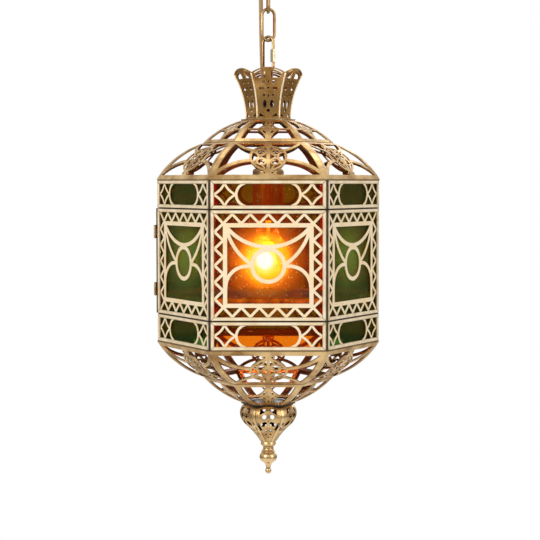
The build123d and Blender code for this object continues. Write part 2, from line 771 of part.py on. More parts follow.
with BuildPart() as lampholder:
    with BuildSketch(Plane.XY.offset(cover_bottom + 1.0)):
        Circle(18.5)
    extrude(amount=holder_top - cover_bottom + 3.0)
    with BuildSketch(Plane.XY.offset(cover_bottom + 1.0)):
        Circle(14.6)
    extrude(amount=28.0, mode=Mode.SUBTRACT)
    with BuildSketch(Plane.XY.offset(body_top - 22.0)):
        Circle(stem_bore)
    extrude(amount=40.0, mode=Mode.SUBTRACT)
    with BuildSketch(Plane.XY.offset(stem_bottom)):
        Circle(stem_radius)
    extrude(amount=20.0, mode=Mode.SUBTRACT)
lampholder.part.label = "lampholder"
export_step(lampholder.part, "parts/lampholder.step")

with BuildPart() as thread_shell:
    with BuildSketch(Plane.XY.offset(body_top - 48.0)):
        Circle(14.6)
        Circle(13.7, mode=Mode.SUBTRACT)
    extrude(amount=24.0)
thread_shell.part.label = "thread_shell"
export_step(thread_shell.part, "parts/thread_shell.step")

lamp_top = body_top - 27.0                 # the lamp's own centre contact
with BuildPart() as contact_tab:
    with BuildSketch(Plane.XZ.offset(-2.5)):
        with BuildLine():
            Polyline((4.2, body_top - 21.0), (12.0, body_top - 21.0), (12.0, body_top - 21.8),
                     (7.5, body_top - 21.8), (3.0, lamp_top + 0.35), (-3.0, lamp_top + 0.35),
                     (-3.0, lamp_top + 1.15), (2.6, lamp_top + 1.15), close=True)
        make_face()
    extrude(amount=5.0)
contact_tab.part.label = "contact_tab"
export_step(contact_tab.part, "parts/contact_tab.step")

cap_radius = 13.1
cap_bottom = lamp_top - 27.0
with BuildPart() as lamp_cap:
    with BuildSketch(Plane.XZ):
        with BuildLine():
            Polyline((0, lamp_top), (4.5, lamp_top), (5.0, lamp_top - 1.5),
                     (10.0, lamp_top - 3.5), (cap_radius - 0.7, lamp_top - 5.0))
            for turn in range(4):
                thread_z = lamp_top - 5.0 - 3.6 * turn
                ThreePointArc((cap_radius - 0.7, thread_z), (cap_radius, thread_z - 1.8),
                              (cap_radius - 0.7, thread_z - 3.6))
            Polyline((cap_radius - 0.7, lamp_top - 19.4), (cap_radius, lamp_top - 21.0),
                     (cap_radius, cap_bottom), (0, cap_bottom), (0, lamp_top))
        make_face()
    revolve(axis=Axis.Z)
    with BuildSketch(Plane.XY.offset(cap_bottom)):
        Circle(cap_radius - 1.3)
    extrude(amount=21.0, mode=Mode.SUBTRACT)
lamp_cap.part.label = "lamp_cap"
export_step(lamp_cap.part, "parts/lamp_cap.step")

globe_radius = 30.0
globe_z = body_top - 109.0
glass_wall = 0.8


def lamp_profile(inset):
    """Half outline of the pear-shaped lamp glass, from its neck to its foot."""
    radius = globe_radius - inset
    neck = 12.8 - inset
    with BuildLine() as outline:
        Line((0, cap_bottom), (neck, cap_bottom))
        Line((neck, cap_bottom), (neck + 0.6, cap_bottom - 8.0))
        Spline((neck + 0.6, cap_bottom - 8.0), (radius * 0.86, globe_z + radius * 0.55),
               (radius, globe_z), tangents=((0.08, -1), (0, -1)))
        ThreePointArc((radius, globe_z), (radius * sin(radians(45)),
                      globe_z - radius * cos(radians(45))), (0, globe_z - radius))
        Line((0, globe_z - radius), (0, cap_bottom))
    make_face(outline.edges())


with BuildPart() as lamp_glass:
    with BuildSketch(Plane.XZ):
        lamp_profile(0)
    revolve(axis=Axis.Z)
    with BuildSketch(Plane.XZ):
        lamp_profile(glass_wall)
    revolve(axis=Axis.Z, mode=Mode.SUBTRACT)
lamp_glass.part.label = "lamp_glass"
export_step(lamp_glass.part, "parts/lamp_glass.step")

with BuildPart() as filament:
    with BuildSketch(Plane.XY.offset(globe_z)):
        Circle(4.0)
    extrude(amount=cap_bottom - globe_z)
    with BuildSketch(Plane.XY.offset(globe_z - 4.0)):
        Circle(11.0)
    extrude(amount=4.0)
filament.part.label = "filament"
export_step(filament.part, "parts/filament.step")

# ---- bottom plate, bud and finial ---------------------------------------------------
bowl_foot = body_bottom - 83.5
with BuildPart() as bottom_plate:
    with BuildSketch(Plane.XY.offset(bowl_foot - plate_depth)):
        RegularPolygon(36.6, 6)
        Circle(2.6, mode=Mode.SUBTRACT)
    extrude(amount=plate_depth)
bottom_plate.part.label = "bottom_plate"
export_step(bottom_plate.part, "parts/bottom_plate.step")

bud_top = bowl_foot - plate_depth
bud_foot = body_top - 353.0


def bud_wall(outside, depth):
    """A turned wall of the bud, proud of its plain surface by outside."""
    lip, widest, cheek, jowl, waist, neck = (31.5, 37.4, 36.3, 30.6, 19.4, 9.8)
    drops = (bud_top, body_top - 311.0, body_top - 320.5, body_top - 329.2, body_top - 340.2,
             bud_foot)
    with BuildSketch(Plane.XZ) as section:
        with BuildLine():
            for shift in (outside, outside - depth):
                ThreePointArc((lip + shift, drops[0]), (widest + shift, drops[1]),
                              (cheek + shift, drops[2]))
                ThreePointArc((cheek + shift, drops[2]), (33.9 + shift, body_top - 325.0),
                              (jowl + shift, drops[3]))
                ThreePointArc((jowl + shift, drops[3]), (waist + shift, drops[4]),
                              (neck + shift, drops[5]))
            Line((lip + outside, bud_top), (lip + outside - depth, bud_top))
            Line((neck + outside, bud_foot), (neck + outside - depth, bud_foot))
        make_face()
    revolve(section.sketch, axis=Axis.Z)


with BuildPart() as bud_petals:
    bud_wall(0, 1.3)
    with BuildSketch(Plane.XY.offset(bud_foot - 1)):
        for turn in range(6):
            with Locations(Location((0, 0, 0), (0, 0, 60 * turn))):
                with Locations((30, 0)):
                    Rectangle(60, 3.6)
    extrude(amount=bud_top - bud_foot + 2, mode=Mode.SUBTRACT)
    for face in all_faces:
        turned = radians(60 * face - 90)
        view = Plane(origin=(0, 0, body_top), x_dir=(-sin(turned), cos(turned), 0),
                     z_dir=(cos(turned), sin(turned), 0))
        with BuildSketch(view):
            for hand in (-1, 1):
                with BuildLine():
                    Polyline((hand * 11.7, -312.6), (hand * 10.9, -305.6),
                             (hand * 3.2, -304.4), (hand * 5.2, -308.8), close=True)
                make_face()
                with Locations((hand * 4.9, -315.0)):
                    Circle(3.1)
                with Locations((hand * 5.7, -325.2)):
                    Ellipse(4.6, 3.0, rotation=-hand * 35)
                bar((hand * 13.8, -325.0), (hand * 9.6, -334.0), 3.2)
                with Locations((hand * 2.8, -335.4)):
                    Circle(1.6)
                with Locations((hand * 3.0, -341.2)):
                    Circle(1.1)
            with Locations((0, -320.4)):
                Circle(1.1)
            with Locations((0, -345.4)):
                Circle(0.9)
        extrude(amount=60, mode=Mode.SUBTRACT)
bud_petals.part.label = "bud_petals"
export_step(bud_petals.part, "parts/bud_petals.step")

with BuildPart() as bud_ribs:
    bud_wall(0.7, 2.2)
    with BuildSketch(Plane.XY.offset(bud_foot - 1)):
        for turn in range(6):
            with Locations(Location((0, 0, 0), (0, 0, 60 * turn))):
                with Locations((34, 0)):
                    Rectangle(52, 3.4)
    extrude(amount=bud_top - bud_foot + 2, mode=Mode.INTERSECT)
bud_ribs.part.label = "bud_ribs"
export_step(bud_ribs.part, "parts/bud_ribs.step")

with BuildPart() as tie_rod:
    with BuildSketch(Plane.XY.offset(bud_foot - 14.0)):
        Circle(2.5)
    extrude(amount=bud_top - bud_foot + 14.0 + plate_depth + 8.0)
    with BuildSketch(Plane.XY.offset(bowl_foot)):
        RegularPolygon(4.5, 6, major_radius=False)
    extrude(amount=4.0)
tie_rod.part.label = "tie_rod"
export_step(tie_rod.part, "parts/tie_rod.step")

with BuildPart() as finial:
    with BuildSketch(Plane.XZ):
        with BuildLine():
            z = body_top
            Polyline((2.5, bud_foot), (9.6, bud_foot), (10.4, z - 356.0), (9.4, z - 358.4),
                     (7.4, z - 359.6))
            ThreePointArc((7.4, z - 359.6), (7.0, z - 362.4), (8.2, z - 365.0))
            Polyline((8.2, z - 365.0), (9.5, z - 366.2), (9.2, z - 367.4), (8.6, z - 367.9),
                     (9.4, z - 368.4))
            ThreePointArc((9.4, z - 368.4), (11.8, z - 374.0), (8.6, z - 380.4))
            ThreePointArc((8.6, z - 380.4), (4.7, z - 383.6), (3.0, z - 388.8))
            Line((3.0, z - 388.8), (3.0, z - 390.06))
            ThreePointArc((3.0, z - 390.06), (4.2, z - 393.0), (1.2, z - 397.02))
            Polyline((1.2, z - 397.02), (0, z - 398.0), (0, bud_foot - 14.0), (2.5, bud_foot - 14.0),
                     (2.5, bud_foot))
        make_face()
    revolve(axis=Axis.Z)
finial.part.label = "finial"
export_step(finial.part, "parts/finial.step")


# ---- loop, quick link and chain -----------------------------------------------------
def turned_plane(angle, height):
    """An upright plane through the axis, turned from the front by angle; x level, y up."""
    turn = radians(angle)
    return Plane(origin=(0, 0, height), x_dir=(cos(turn), sin(turn), 0),
                 z_dir=(sin(turn), -cos(turn), 0))


def wire_loop(plane, height, width):
    """A closed oval of wire in the plane; height and width run between wire centres."""
    straight = height / 2 - width / 2
    half = width / 2
    with BuildLine(plane) as path:
        Line((half, -straight), (half, straight))
        ThreePointArc((half, straight), (0, straight + half), (-half, straight))
        Line((-half, straight), (-half, -straight))
        ThreePointArc((-half, -straight), (0, -straight - half), (half, -straight))
    with BuildSketch(Plane(origin=plane.from_local_coords((half, -straight, 0)),
                           z_dir=(0, 0, 1))) as section:
        Circle(wire / 2)
    sweep(section.sketch, path=path.wire())


quick_bottom = loop_top - wire - swing_gap # centre of the quick link's lower wire
quick_height = 46.1
quick_width = 17.0
quick_turn = -37.0
lower_turn = 13.0
upper_turn = 95.0
quick_top = quick_bottom + quick_height
lower_bottom = quick_top - 4.95            # the twisted crossing needs more room
link_centres = link_height - wire
lower_top = lower_bottom + link_centres
upper_bottom = lower_top - wire - swing_gap
upper_top = upper_bottom + link_centres
loop_wire_z = upper_top - wire - swing_gap

with BuildPart() as lantern_loop:
    wire_loop(turned_plane(quick_turn + 90, loop_top - loop_width / 2), loop_width + 0.02,
              loop_width)
lantern_loop.part.label = "lantern_loop"
export_step(lantern_loop.part, "parts/lantern_loop.step")

quick_plane = turned_plane(quick_turn, quick_bottom + quick_height / 2)
quick_gap = (-9.5, -3.5)                  # the opening in its leg, closed by the nut
with BuildPart() as quick_link:
    wire_loop(quick_plane, quick_height, quick_width)
    with BuildSketch(quick_plane):
        with Locations((quick_width / 2, sum(quick_gap) / 2)):
            Rectangle(wire + 2, quick_gap[1] - quick_gap[0])
    extrude(amount=wire, both=True, mode=Mode.SUBTRACT)
quick_link.part.label = "quick_link"
export_step(quick_link.part, "parts/quick_link.step")

with BuildPart() as quick_link_nut:
    nut_plane = Plane(origin=quick_plane.from_local_coords((quick_width / 2, -10.9, 0)),
                      x_dir=(cos(radians(quick_turn)), sin(radians(quick_turn)), 0),
                      z_dir=(0, 0, 1))
    with BuildSketch(nut_plane):
        RegularPolygon(3.7, 6, major_radius=False)
        Circle(wire / 2 + 0.08, mode=Mode.SUBTRACT)
    extrude(amount=16.8)
quick_link_nut.part.label = "quick_link_nut"
export_step(quick_link_nut.part, "parts/quick_link_nut.step")

link_pitch_width = link_width - wire
with BuildPart() as chain_link_lower:
    wire_loop(turned_plane(lower_turn, (lower_bottom + lower_top) / 2), link_centres, link_pitch_width)
chain_link_lower.part.label = "chain_link_lower"
export_step(chain_link_lower.part, "parts/chain_link_lower.step")

with BuildPart() as chain_link_upper:
    wire_loop(turned_plane(upper_turn, (upper_bottom + upper_top) / 2), link_centres, link_pitch_width)
chain_link_upper.part.label = "chain_link_upper"
export_step(chain_link_upper.part, "parts/chain_link_upper.step")

# ---- canopy at the ceiling ----------------------------------------------------------
canopy_radius = 55.0
canopy_depth = 25.0
canopy_wall = 1.2
bracket_depth = 2.0
screw_spacing = 80.0
screw_hole = 2.3
stud_spacing = 60.0
shank_radius = 5.0
bush_radius = 4.6
cord_head = (-10.2, 10.0)

with BuildPart() as ceiling_bracket:
    with BuildSketch(Plane.XY.offset(-bracket_depth)):
        SlotOverall(100.0, 24.0)
        with Locations((-screw_spacing / 2, 0), (screw_spacing / 2, 0)):
            Circle(screw_hole, mode=Mode.SUBTRACT)
        Circle(shank_radius, mode=Mode.SUBTRACT)
        with Locations((-stud_spacing / 2, 0), (stud_spacing / 2, 0)):
            Circle(2.0, mode=Mode.SUBTRACT)
    extrude(amount=bracket_depth)
ceiling_bracket.part.label = "ceiling_bracket"
export_step(ceiling_bracket.part, "parts/ceiling_bracket.step")

with BuildPart() as canopy_cup:
    with BuildSketch(Plane.XY.offset(-canopy_depth)):
        Circle(canopy_radius)
    extrude(amount=canopy_depth)
    fillet(canopy_cup.faces().sort_by(Axis.Z)[0].edges(), 12.0)
    offset(amount=-canopy_wall, openings=canopy_cup.faces().sort_by(Axis.Z)[-1])
    with BuildSketch(Plane.XY.offset(-canopy_depth - 1)):
        Circle(shank_radius)
        with Locations((-stud_spacing / 2, 0), (stud_spacing / 2, 0)):
            Circle(2.0)
        with Locations(cord_head):
            Circle(bush_radius)
    extrude(amount=3.0, mode=Mode.SUBTRACT)
canopy_cup.part.label = "canopy_cup"
export_step(canopy_cup.part, "parts/canopy_cup.step")

with BuildPart() as canopy_studs:
    with BuildSketch(Plane.XY.offset(-canopy_depth - 3.0)):
        with Locations((-stud_spacing / 2, 0), (stud_spacing / 2, 0)):
            Circle(2.0)
    extrude(amount=canopy_depth + 3.0)
canopy_studs.part.label = "canopy_studs"
export_step(canopy_studs.part, "parts/canopy_studs.step")



def upright_section(x, y):
    """The plane of a turned piece's half section, on its own upright axis."""
    return Plane(origin=(x, y, 0), x_dir=(1, 0, 0), z_dir=(0, -1, 0))


with BuildPart() as canopy_cap_nuts:
    for x in (-stud_spacing / 2, stud_spacing / 2):
        with BuildSketch(upright_section(x, 0)):
            with BuildLine():
                z = -canopy_depth
                Polyline((2.0, z), (5.5, z), (5.5, z - 2.0), (4.2, z - 2.6), (4.2, z - 3.0))
                CenterArc((0, z - 3.0), 4.2, -90, 90)
                Polyline((0, z - 7.2), (0, z - 3.0), (2.0, z - 3.0), (2.0, z))
            make_face()
        revolve(axis=Axis((x, 0, 0), (0, 0, 1)))
canopy_cap_nuts.part.label = "canopy_cap_nuts"
export_step(canopy_cap_nuts.part, "parts/canopy_cap_nuts.step")

canopy_ring_width = 17.0
canopy_ring_centre = loop_wire_z + canopy_ring_width / 2
with BuildPart() as canopy_loop:
    wire_loop(turned_plane(0, canopy_ring_centre), canopy_ring_width + 0.02, canopy_ring_width)
    with BuildSketch(Plane.XZ):
        with BuildLine():
            boss_z = canopy_ring_centre + canopy_ring_width / 2 - 0.6
            Polyline((0, 0), (shank_radius, 0), (shank_radius, -canopy_depth),
                     (7.6, -canopy_depth), (7.6, -canopy_depth - 2.5),
                     (5.0, boss_z), (0, boss_z), close=True)
        make_face()
    revolve(axis=Axis.Z)
canopy_loop.part.label = "canopy_loop"
export_step(canopy_loop.part, "parts/canopy_loop.step")

with BuildPart() as canopy_lock_nut:
    with BuildSketch(Plane.XY.offset(-bracket_depth - nut_depth)):
        RegularPolygon(nut_across / 2, 6, major_radius=False)
        Circle(shank_radius, mode=Mode.SUBTRACT)
    extrude(amount=nut_depth)
canopy_lock_nut.part.label = "canopy_lock_nut"
export_step(canopy_lock_nut.part, "parts/canopy_lock_nut.step")

with BuildPart() as canopy_cord_bush:
    with BuildSketch(upright_section(*cord_head)):
        with BuildLine():
            z = -canopy_depth
            Polyline((cord_diameter / 2, z + 6.0), (bush_radius, z + 6.0), (bush_radius, z),
                     (6.2, z), (5.6, z - 1.8), (cord_diameter / 2, z - 1.8), close=True)
        make_face()
    revolve(axis=Axis((*cord_head, 0), (0, 0, 1)))
canopy_cord_bush.part.label = "canopy_cord_bush"
export_step(canopy_cord_bush.part, "parts/canopy_cord_bush.step")

with BuildPart() as terminal_block:
    with BuildSketch(Plane.XY.offset(-bracket_depth - 11.0)):
        with Locations((18.5, 0)):
            Rectangle(12.0, 22.0)
    extrude(amount=11.0)
    with BuildSketch(Plane.XY.offset(-bracket_depth - 11.0)):
        with Locations((18.5, -7.0), (18.5, 0), (18.5, 7.0)):
            Circle(1.9)
    extrude(amount=6.0, mode=Mode.SUBTRACT)
terminal_block.part.label = "terminal_block"
export_step(terminal_block.part, "parts/terminal_block.step")

# ---- supply cord --------------------------------------------------------------------
cord_top = -canopy_depth + 6.0
cord_route = [(cord_head[0], cord_head[1], cord_top), (-10.1, 10.0, -42.0),
              (-9.8, 10.7, -86.0), (-9.0, 11.0, -136.0), (-7.6, 10.6, -172.0),
              (cord_foot[0], cord_foot[1], -200.0), (cord_foot[0], cord_foot[1], cavity_top)]


def route_radii(route):
    """The largest arc that each corner's two runs allow."""
    radii = []
    for before, corner, after in zip(route, route[1:], route[2:]):
        run_in, run_out = Vector(*corner) - Vector(*before), Vector(*after) - Vector(*corner)
        turn = radians(run_in.get_angle(run_out))
        radii.append(0.45 * min(run_in.length, run_out.length) / tan(turn / 2))
    return radii


cord_radii = route_radii(cord_route)
print("cord radii:", [round(radius) for radius in cord_radii])
with BuildPart() as supply_cord:
    with BuildLine() as cord_line:
        FilletPolyline(*cord_route, radius=cord_radii)
    with BuildSketch(Plane(origin=cord_route[0], z_dir=cord_line.wire().tangent_at(0))):
        Circle(cord_diameter / 2)
    sweep()
cord_length = cord_line.wire().length
cord_section = 3.14159265 * (cord_diameter / 2)**2
print("cord length:", round(cord_length, 1),
      "volume ratio:", round(supply_cord.part.volume / (cord_section * cord_length), 4))
supply_cord.part.label = "supply_cord"
export_step(supply_cord.part, "parts/supply_cord.step")
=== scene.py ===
# %% [markdown]
# # A six-sided lantern of pierced brass and coloured glass
# The lantern hangs from a ceiling canopy on two links of chain and a shackle. Its metal is
# thin brass sheet, cut through and soldered, and its glass is amber and green by turns.
# The metalwork comes from the design model as a fixed frame. This lesson adds what that
# model only stands in for, which is the supply cord, the wavy glass, the lamp's inside and
# the solder on the crown, and then every finish.

# %% load the frame
from math import cos, pi, radians, sin

import bpy
from mathutils import Matrix, Vector


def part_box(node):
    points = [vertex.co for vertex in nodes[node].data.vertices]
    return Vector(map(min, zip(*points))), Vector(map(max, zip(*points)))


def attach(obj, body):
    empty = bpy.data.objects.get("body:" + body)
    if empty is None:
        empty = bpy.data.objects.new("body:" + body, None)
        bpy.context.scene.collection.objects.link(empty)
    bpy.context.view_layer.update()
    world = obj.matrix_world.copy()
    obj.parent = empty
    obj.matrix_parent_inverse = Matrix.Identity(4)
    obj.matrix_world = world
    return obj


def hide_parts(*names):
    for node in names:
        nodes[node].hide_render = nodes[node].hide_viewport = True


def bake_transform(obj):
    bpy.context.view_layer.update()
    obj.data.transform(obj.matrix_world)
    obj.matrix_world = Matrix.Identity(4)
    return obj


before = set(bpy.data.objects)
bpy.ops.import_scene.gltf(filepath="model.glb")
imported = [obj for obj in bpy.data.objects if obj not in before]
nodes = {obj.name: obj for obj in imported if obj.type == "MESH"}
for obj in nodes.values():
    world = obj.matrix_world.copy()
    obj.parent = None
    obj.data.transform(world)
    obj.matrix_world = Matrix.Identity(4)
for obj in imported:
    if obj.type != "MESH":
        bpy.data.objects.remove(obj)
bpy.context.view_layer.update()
bpy.ops.object.select_all(action="DESELECT")

# %% [markdown]
# ## The camera
# A lantern over a table is seen from about its own shoulder height and from far enough
# away that its sides stay nearly upright. A long lens from two metres does that. The
# camera stands level with the top of the glazed body and is aimed a little lower.

# %% camera
MM = 0.001
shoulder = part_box("corner_posts")[1][2]
camera_distance = 2.06
camera_drop = 4 * MM
aim_right, aim_drop = 2.3 * MM, 120.7 * MM
lens_length = 102.2

bpy.ops.object.camera_add(location=(0, -camera_distance, shoulder - camera_drop))
camera = bpy.context.object
camera.name = "camera"
camera.data.lens = lens_length
aim = Vector((aim_right, 0, shoulder - aim_drop))
camera.rotation_euler = (aim - camera.location).to_track_quat("-Z", "Y").to_euler()
bpy.context.scene.camera = camera
print("camera at", tuple(round(v, 3) for v in camera.location), "shoulder", shoulder)

# %% [markdown]
# ## Light
# Brass shows what is around it, so plain light matters more than its colour. Four large
# soft panels stand left, right, above and behind. Each is turned towards the middle of
# the lantern.

# %% studio light
scene = bpy.context.scene
scene.view_settings.view_transform = "Standard"
scene.cycles.transparent_max_bounces = 24
lit_middle = Vector((0, 0, -0.4))


def soft_panel(name, place, size, power):
    bpy.ops.object.light_add(type="AREA", location=place)
    panel = bpy.context.object
    panel.name = name
    panel.data.shape = "RECTANGLE"
    panel.data.size, panel.data.size_y = size
    panel.data.energy = power
    panel.rotation_euler = (lit_middle - Vector(place)).to_track_quat("-Z", "Y").to_euler()
    print(name, power, "W")


soft_panel("left_panel", (-1.5, -1.7, 0.3), (0.9, 1.6), 30)
soft_panel("right_panel", (1.8, -1.2, 0.0), (0.7, 1.6), 15)
soft_panel("top_panel", (0.2, 0.3, 1.3), (1.6, 1.6), 16)
soft_panel("rear_panel", (0.6, 2.0, 0.0), (1.4, 1.4), 14)

# %% [markdown]
# A small warm light sits where the lamp is, because the lamp's own glow is what reddens
# the inside of the metalwork.

# %% the lamp's light
globe_low, globe_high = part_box("lamp_glass")
globe_radius = (globe_high[0] - globe_low[0]) / 2
globe_centre = Vector((0, 0, globe_low[2] + globe_radius))
bpy.ops.object.light_add(type="POINT", location=globe_centre)
lamp_light = bpy.context.object
lamp_light.name = "lamp_light"
lamp_light.data.energy = 0.9
lamp_light.data.color = (1.0, 0.62, 0.25)
lamp_light.data.shadow_soft_size = 12 * MM
print("lamp globe centre", tuple(round(v, 4) for v in globe_centre), "radius", globe_radius)

# %% [markdown]
# The sky is white where the camera looks at it. For reflections it is grey low down and
# white higher up, which gives the brass some dark to show beside the light.

# %% sky
horizon_grey = (0.16, 0.14, 0.12, 1)
zenith_white = (1.0, 1.0, 1.02, 1)
grey_below, white_above = 0.40, 0.66

world = bpy.data.worlds.new("studio")
scene.world = world
world.use_nodes = True
sky = world.node_tree
reflected = sky.nodes["Background"]
rays = sky.nodes.new("ShaderNodeLightPath")
white = sky.nodes.new("ShaderNodeBackground")
white.inputs["Color"].default_value = (1, 1, 1, 1)
white.inputs["Strength"].default_value = 1.0
direction = sky.nodes.new("ShaderNodeTexCoord")
upward = sky.nodes.new("ShaderNodeSeparateXYZ")
sky.links.new(direction.outputs["Generated"], upward.inputs[0])
shade = sky.nodes.new("ShaderNodeValToRGB")
for element, position, colour in zip(shade.color_ramp.elements, (grey_below, white_above),
                                     (horizon_grey, zenith_white)):
    element.position = position
    element.color = colour
level = sky.nodes.new("ShaderNodeMath")
level.operation = "MULTIPLY_ADD"
level.inputs[1].default_value = 0.5
level.inputs[2].default_value = 0.5
sky.links.new(upward.outputs["Z"], level.inputs[0])
sky.links.new(level.outputs[0], shade.inputs[0])
sky.links.new(shade.outputs[0], reflected.inputs["Color"])
both = sky.nodes.new("ShaderNodeMixShader")
sky.links.new(rays.outputs["Is Camera Ray"], both.inputs[0])
sky.links.new(reflected.outputs[0], both.inputs[1])
sky.links.new(white.outputs[0], both.inputs[2])
sky.links.new(both.outputs[0], sky.nodes["World Output"].inputs["Surface"])
print("sky of", len(sky.nodes), "nodes")

# %% [markdown]
# ## The floor
# The lantern hangs well above the floor, so the floor is a plain pale sheet a metre and
# three quarters below the ceiling, larger than the lantern's shadow.

# %% floor
floor_size, floor_height = 6, -1.75
bpy.ops.mesh.primitive_plane_add(size=floor_size, location=(0, 0, floor_height))
floor = bpy.context.object
floor.name = "floor"
print("floor at", floor_height)

# %% [markdown]
# ## Shader sums in plain Python
# Most finishes here are small sums over a surface: how far a point is from an edge, how
# wavy the glass is. Written as nodes they are hard to read. So one class wraps a node's
# output and turns + - * / into Math nodes.

# %% a value that can be added and multiplied
class Value:
    """A node's output. Arithmetic on it adds Math nodes to the same material."""

    def __init__(self, finish, socket):
        self.finish = finish
        self.socket = socket

    def maths(self, operation, *others):
        terms = dict(enumerate([self, *others]))
        return self.finish.node("Math", {"operation": operation}, terms)

    def swapped(self, operation, other):
        return self.finish.node("Math", {"operation": operation}, {0: other, 1: self})

    def __add__(self, other):
        return self.maths("ADD", other)

    def __sub__(self, other):
        return self.maths("SUBTRACT", other)

    def __mul__(self, other):
        return self.maths("MULTIPLY", other)

    def __truediv__(self, other):
        return self.maths("DIVIDE", other)

    def __pow__(self, other):
        return self.maths("POWER", other)

    def __rsub__(self, other):
        return self.swapped("SUBTRACT", other)

    def __rtruediv__(self, other):
        return self.swapped("DIVIDE", other)

    __radd__ = __add__
    __rmul__ = __mul__

    def step(self, low, high):
        """0 below low, 1 above high and a straight climb between."""
        return self.finish.node("MapRange", {}, {0: self, 1: low, 2: high})

# %% [markdown]
# A second class is the material itself. Its node method makes any other node in a line:
# the settings are made first, and then each socket takes a number or a link.

# %% a finish and its nodes
class Finish:
    """A material being made. Its Principled shader is surface."""

    def __init__(self, name, **constants):
        self.material = bpy.data.materials.new(name)
        self.material.use_nodes = True
        self.tree = self.material.node_tree
        self.surface = self.tree.nodes["Principled BSDF"]
        for socket, value in constants.items():
            self.surface.inputs[socket.replace("_", " ")].default_value = value

    def node(self, kind, settings, sockets, output=0):
        made = self.tree.nodes.new("ShaderNode" + kind)
        for name, value in settings.items():
            if name == "stops":
                ramp = made.color_ramp.elements
                while len(ramp) < len(value):
                    ramp.new(0.5)
                for element, (position, colour) in zip(ramp, value):
                    element.position = position
                    element.color = colour
            else:
                setattr(made, name, value)
        for key, value in sockets.items():
            if isinstance(value, Value):
                self.tree.links.new(value.socket, made.inputs[key])
            else:
                made.inputs[key].default_value = value
        return Value(self, made.outputs[output])

    def feed(self, socket, value):
        self.tree.links.new(value.socket, self.surface.inputs[socket])

    def place(self):
        return self.node("TexCoord", {}, {}, "Object")

    def stretched(self, scale):
        """Object coordinates with a scale for each direction, in cycles per metre."""
        return self.node("Mapping", {}, {"Vector": self.place(), "Scale": scale})

    def noise(self, scale, detail=2.0, where=None):
        where = where or self.place()
        return self.node("TexNoise", {}, {"Vector": where, "Scale": scale, "Detail": detail})

    def mix(self, amount, first, second):
        return self.node("Mix", {"data_type": "RGBA"}, {0: amount, 6: first, 7: second}, 2)

    def axes(self):
        split = self.node("SeparateXYZ", {}, {0: self.place()})
        return [Value(self, out) for out in split.socket.node.outputs]

    def bump(self, height, strength, distance):
        sockets = {"Height": height, "Strength": strength, "Distance": distance}
        return self.node("Bump", {}, sockets)

    def film_over(self, amount, tint):
        """Lay the surface as a thin film over clear glass of a tint."""
        clear = self.node("BsdfTransparent", {}, {"Color": tint})
        surface = Value(self, self.surface.outputs[0])
        pane = self.node("MixShader", {}, {0: amount, 1: clear, 2: surface})
        output = self.tree.nodes["Material Output"]
        self.tree.links.new(pane.socket, output.inputs["Surface"])


def rgb(red, green, blue):
    """A screen colour from 0 to 255, as the linear colour that shaders take."""
    def linear(channel):
        share = channel / 255
        return share / 12.92 if share <= 0.04045 else ((share + 0.055) / 1.055) ** 2.4
    return (linear(red), linear(green), linear(blue), 1)

# %% [markdown]
# ## One side stands for six
# The body is the same six times round. Folding the angle about the axis into one sixth
# gives every side the same coordinate across, from its own middle. Patterns are then
# written once. A second sum tells the inside of the metalwork from its outside.

# %% side coordinates
side_angle = pi / 3


def side_coordinates(finish):
    """How far a point is across from its side's middle, and its height."""
    x, y, z = finish.axes()
    angle = finish.node("Math", {"operation": "ARCTAN2"}, {0: x, 1: y * -1})
    turn = ((angle + side_angle / 2) / side_angle).maths("FLOOR")
    folded = angle - turn * side_angle
    radius = (x * x + y * y) ** 0.5
    return radius * folded.maths("SINE"), z


# This mask says where the brass gets its painted inside shade and painted lamp glow.
def inward(finish):
    """1 where a surface faces the lantern's axis, 0 where it faces out."""
    normal = finish.node("TexCoord", {}, {}, "Normal")
    x, y, _ = finish.axes()
    level = finish.node("CombineXYZ", {}, {0: x, 1: y, 2: 0.0})
    outwards = finish.node("VectorMath", {"operation": "NORMALIZE"}, {0: level})
    both_ways = {0: normal, 1: outwards}
    facing = finish.node("VectorMath", {"operation": "DOT_PRODUCT"}, both_ways, "Value")
    return facing.step(0.05, -0.35)

# %% [markdown]
# ## Brass
# The dome, bowl and finial are antique brass: a satin lacquered skin, lightest where hands and
# polish reach. Faces that look in towards the lamp are painted redder and darker. That is painted
# shade with a painted warm glow of the lamp in it. The frets are a paler champagne brass. All get
# a fine brushed grain, made of noise that is squeezed across the brush and stretched along it.

# %% brass finishes
cloud_scale, streak_scale, speckle_scale = 42.0, 9.0, 520.0
lacquer_tint = (1, 0.95, 0.85, 1)
pit_brown = rgb(88, 58, 30)


def brass(name, light, dark, inside, grain=(260, 260, 30), roughness=0.30, metal=1.0, pits=0.5):
    finish = Finish(name, Metallic=metal, Specular_Tint=lacquer_tint)
    cloud = finish.noise(cloud_scale, 4.0)
    streaks = finish.noise(streak_scale, 3.0, finish.stretched(grain))
    speckle = finish.noise(speckle_scale, 2.0)
    worn = (cloud * 0.6 + streaks * 0.4).step(0.40, 0.60)
    pitted = (speckle + (1 - cloud) * 0.35).step(0.80, 0.90) * pits
    skin = finish.mix(pitted, finish.mix(worn, dark, light), pit_brown)
    # Faces turned in get the inside colour: painted shade, reddened by a painted glow of the
    # lamp.
    finish.feed("Base Color", finish.mix(inward(finish), skin, inside))
    finish.feed("Roughness", roughness + (1 - worn) * 0.14 + pitted * 0.2)
    finish.feed("Normal", finish.bump(streaks - pitted * 0.4, 0.14, 0.4 * MM))
    return finish.material
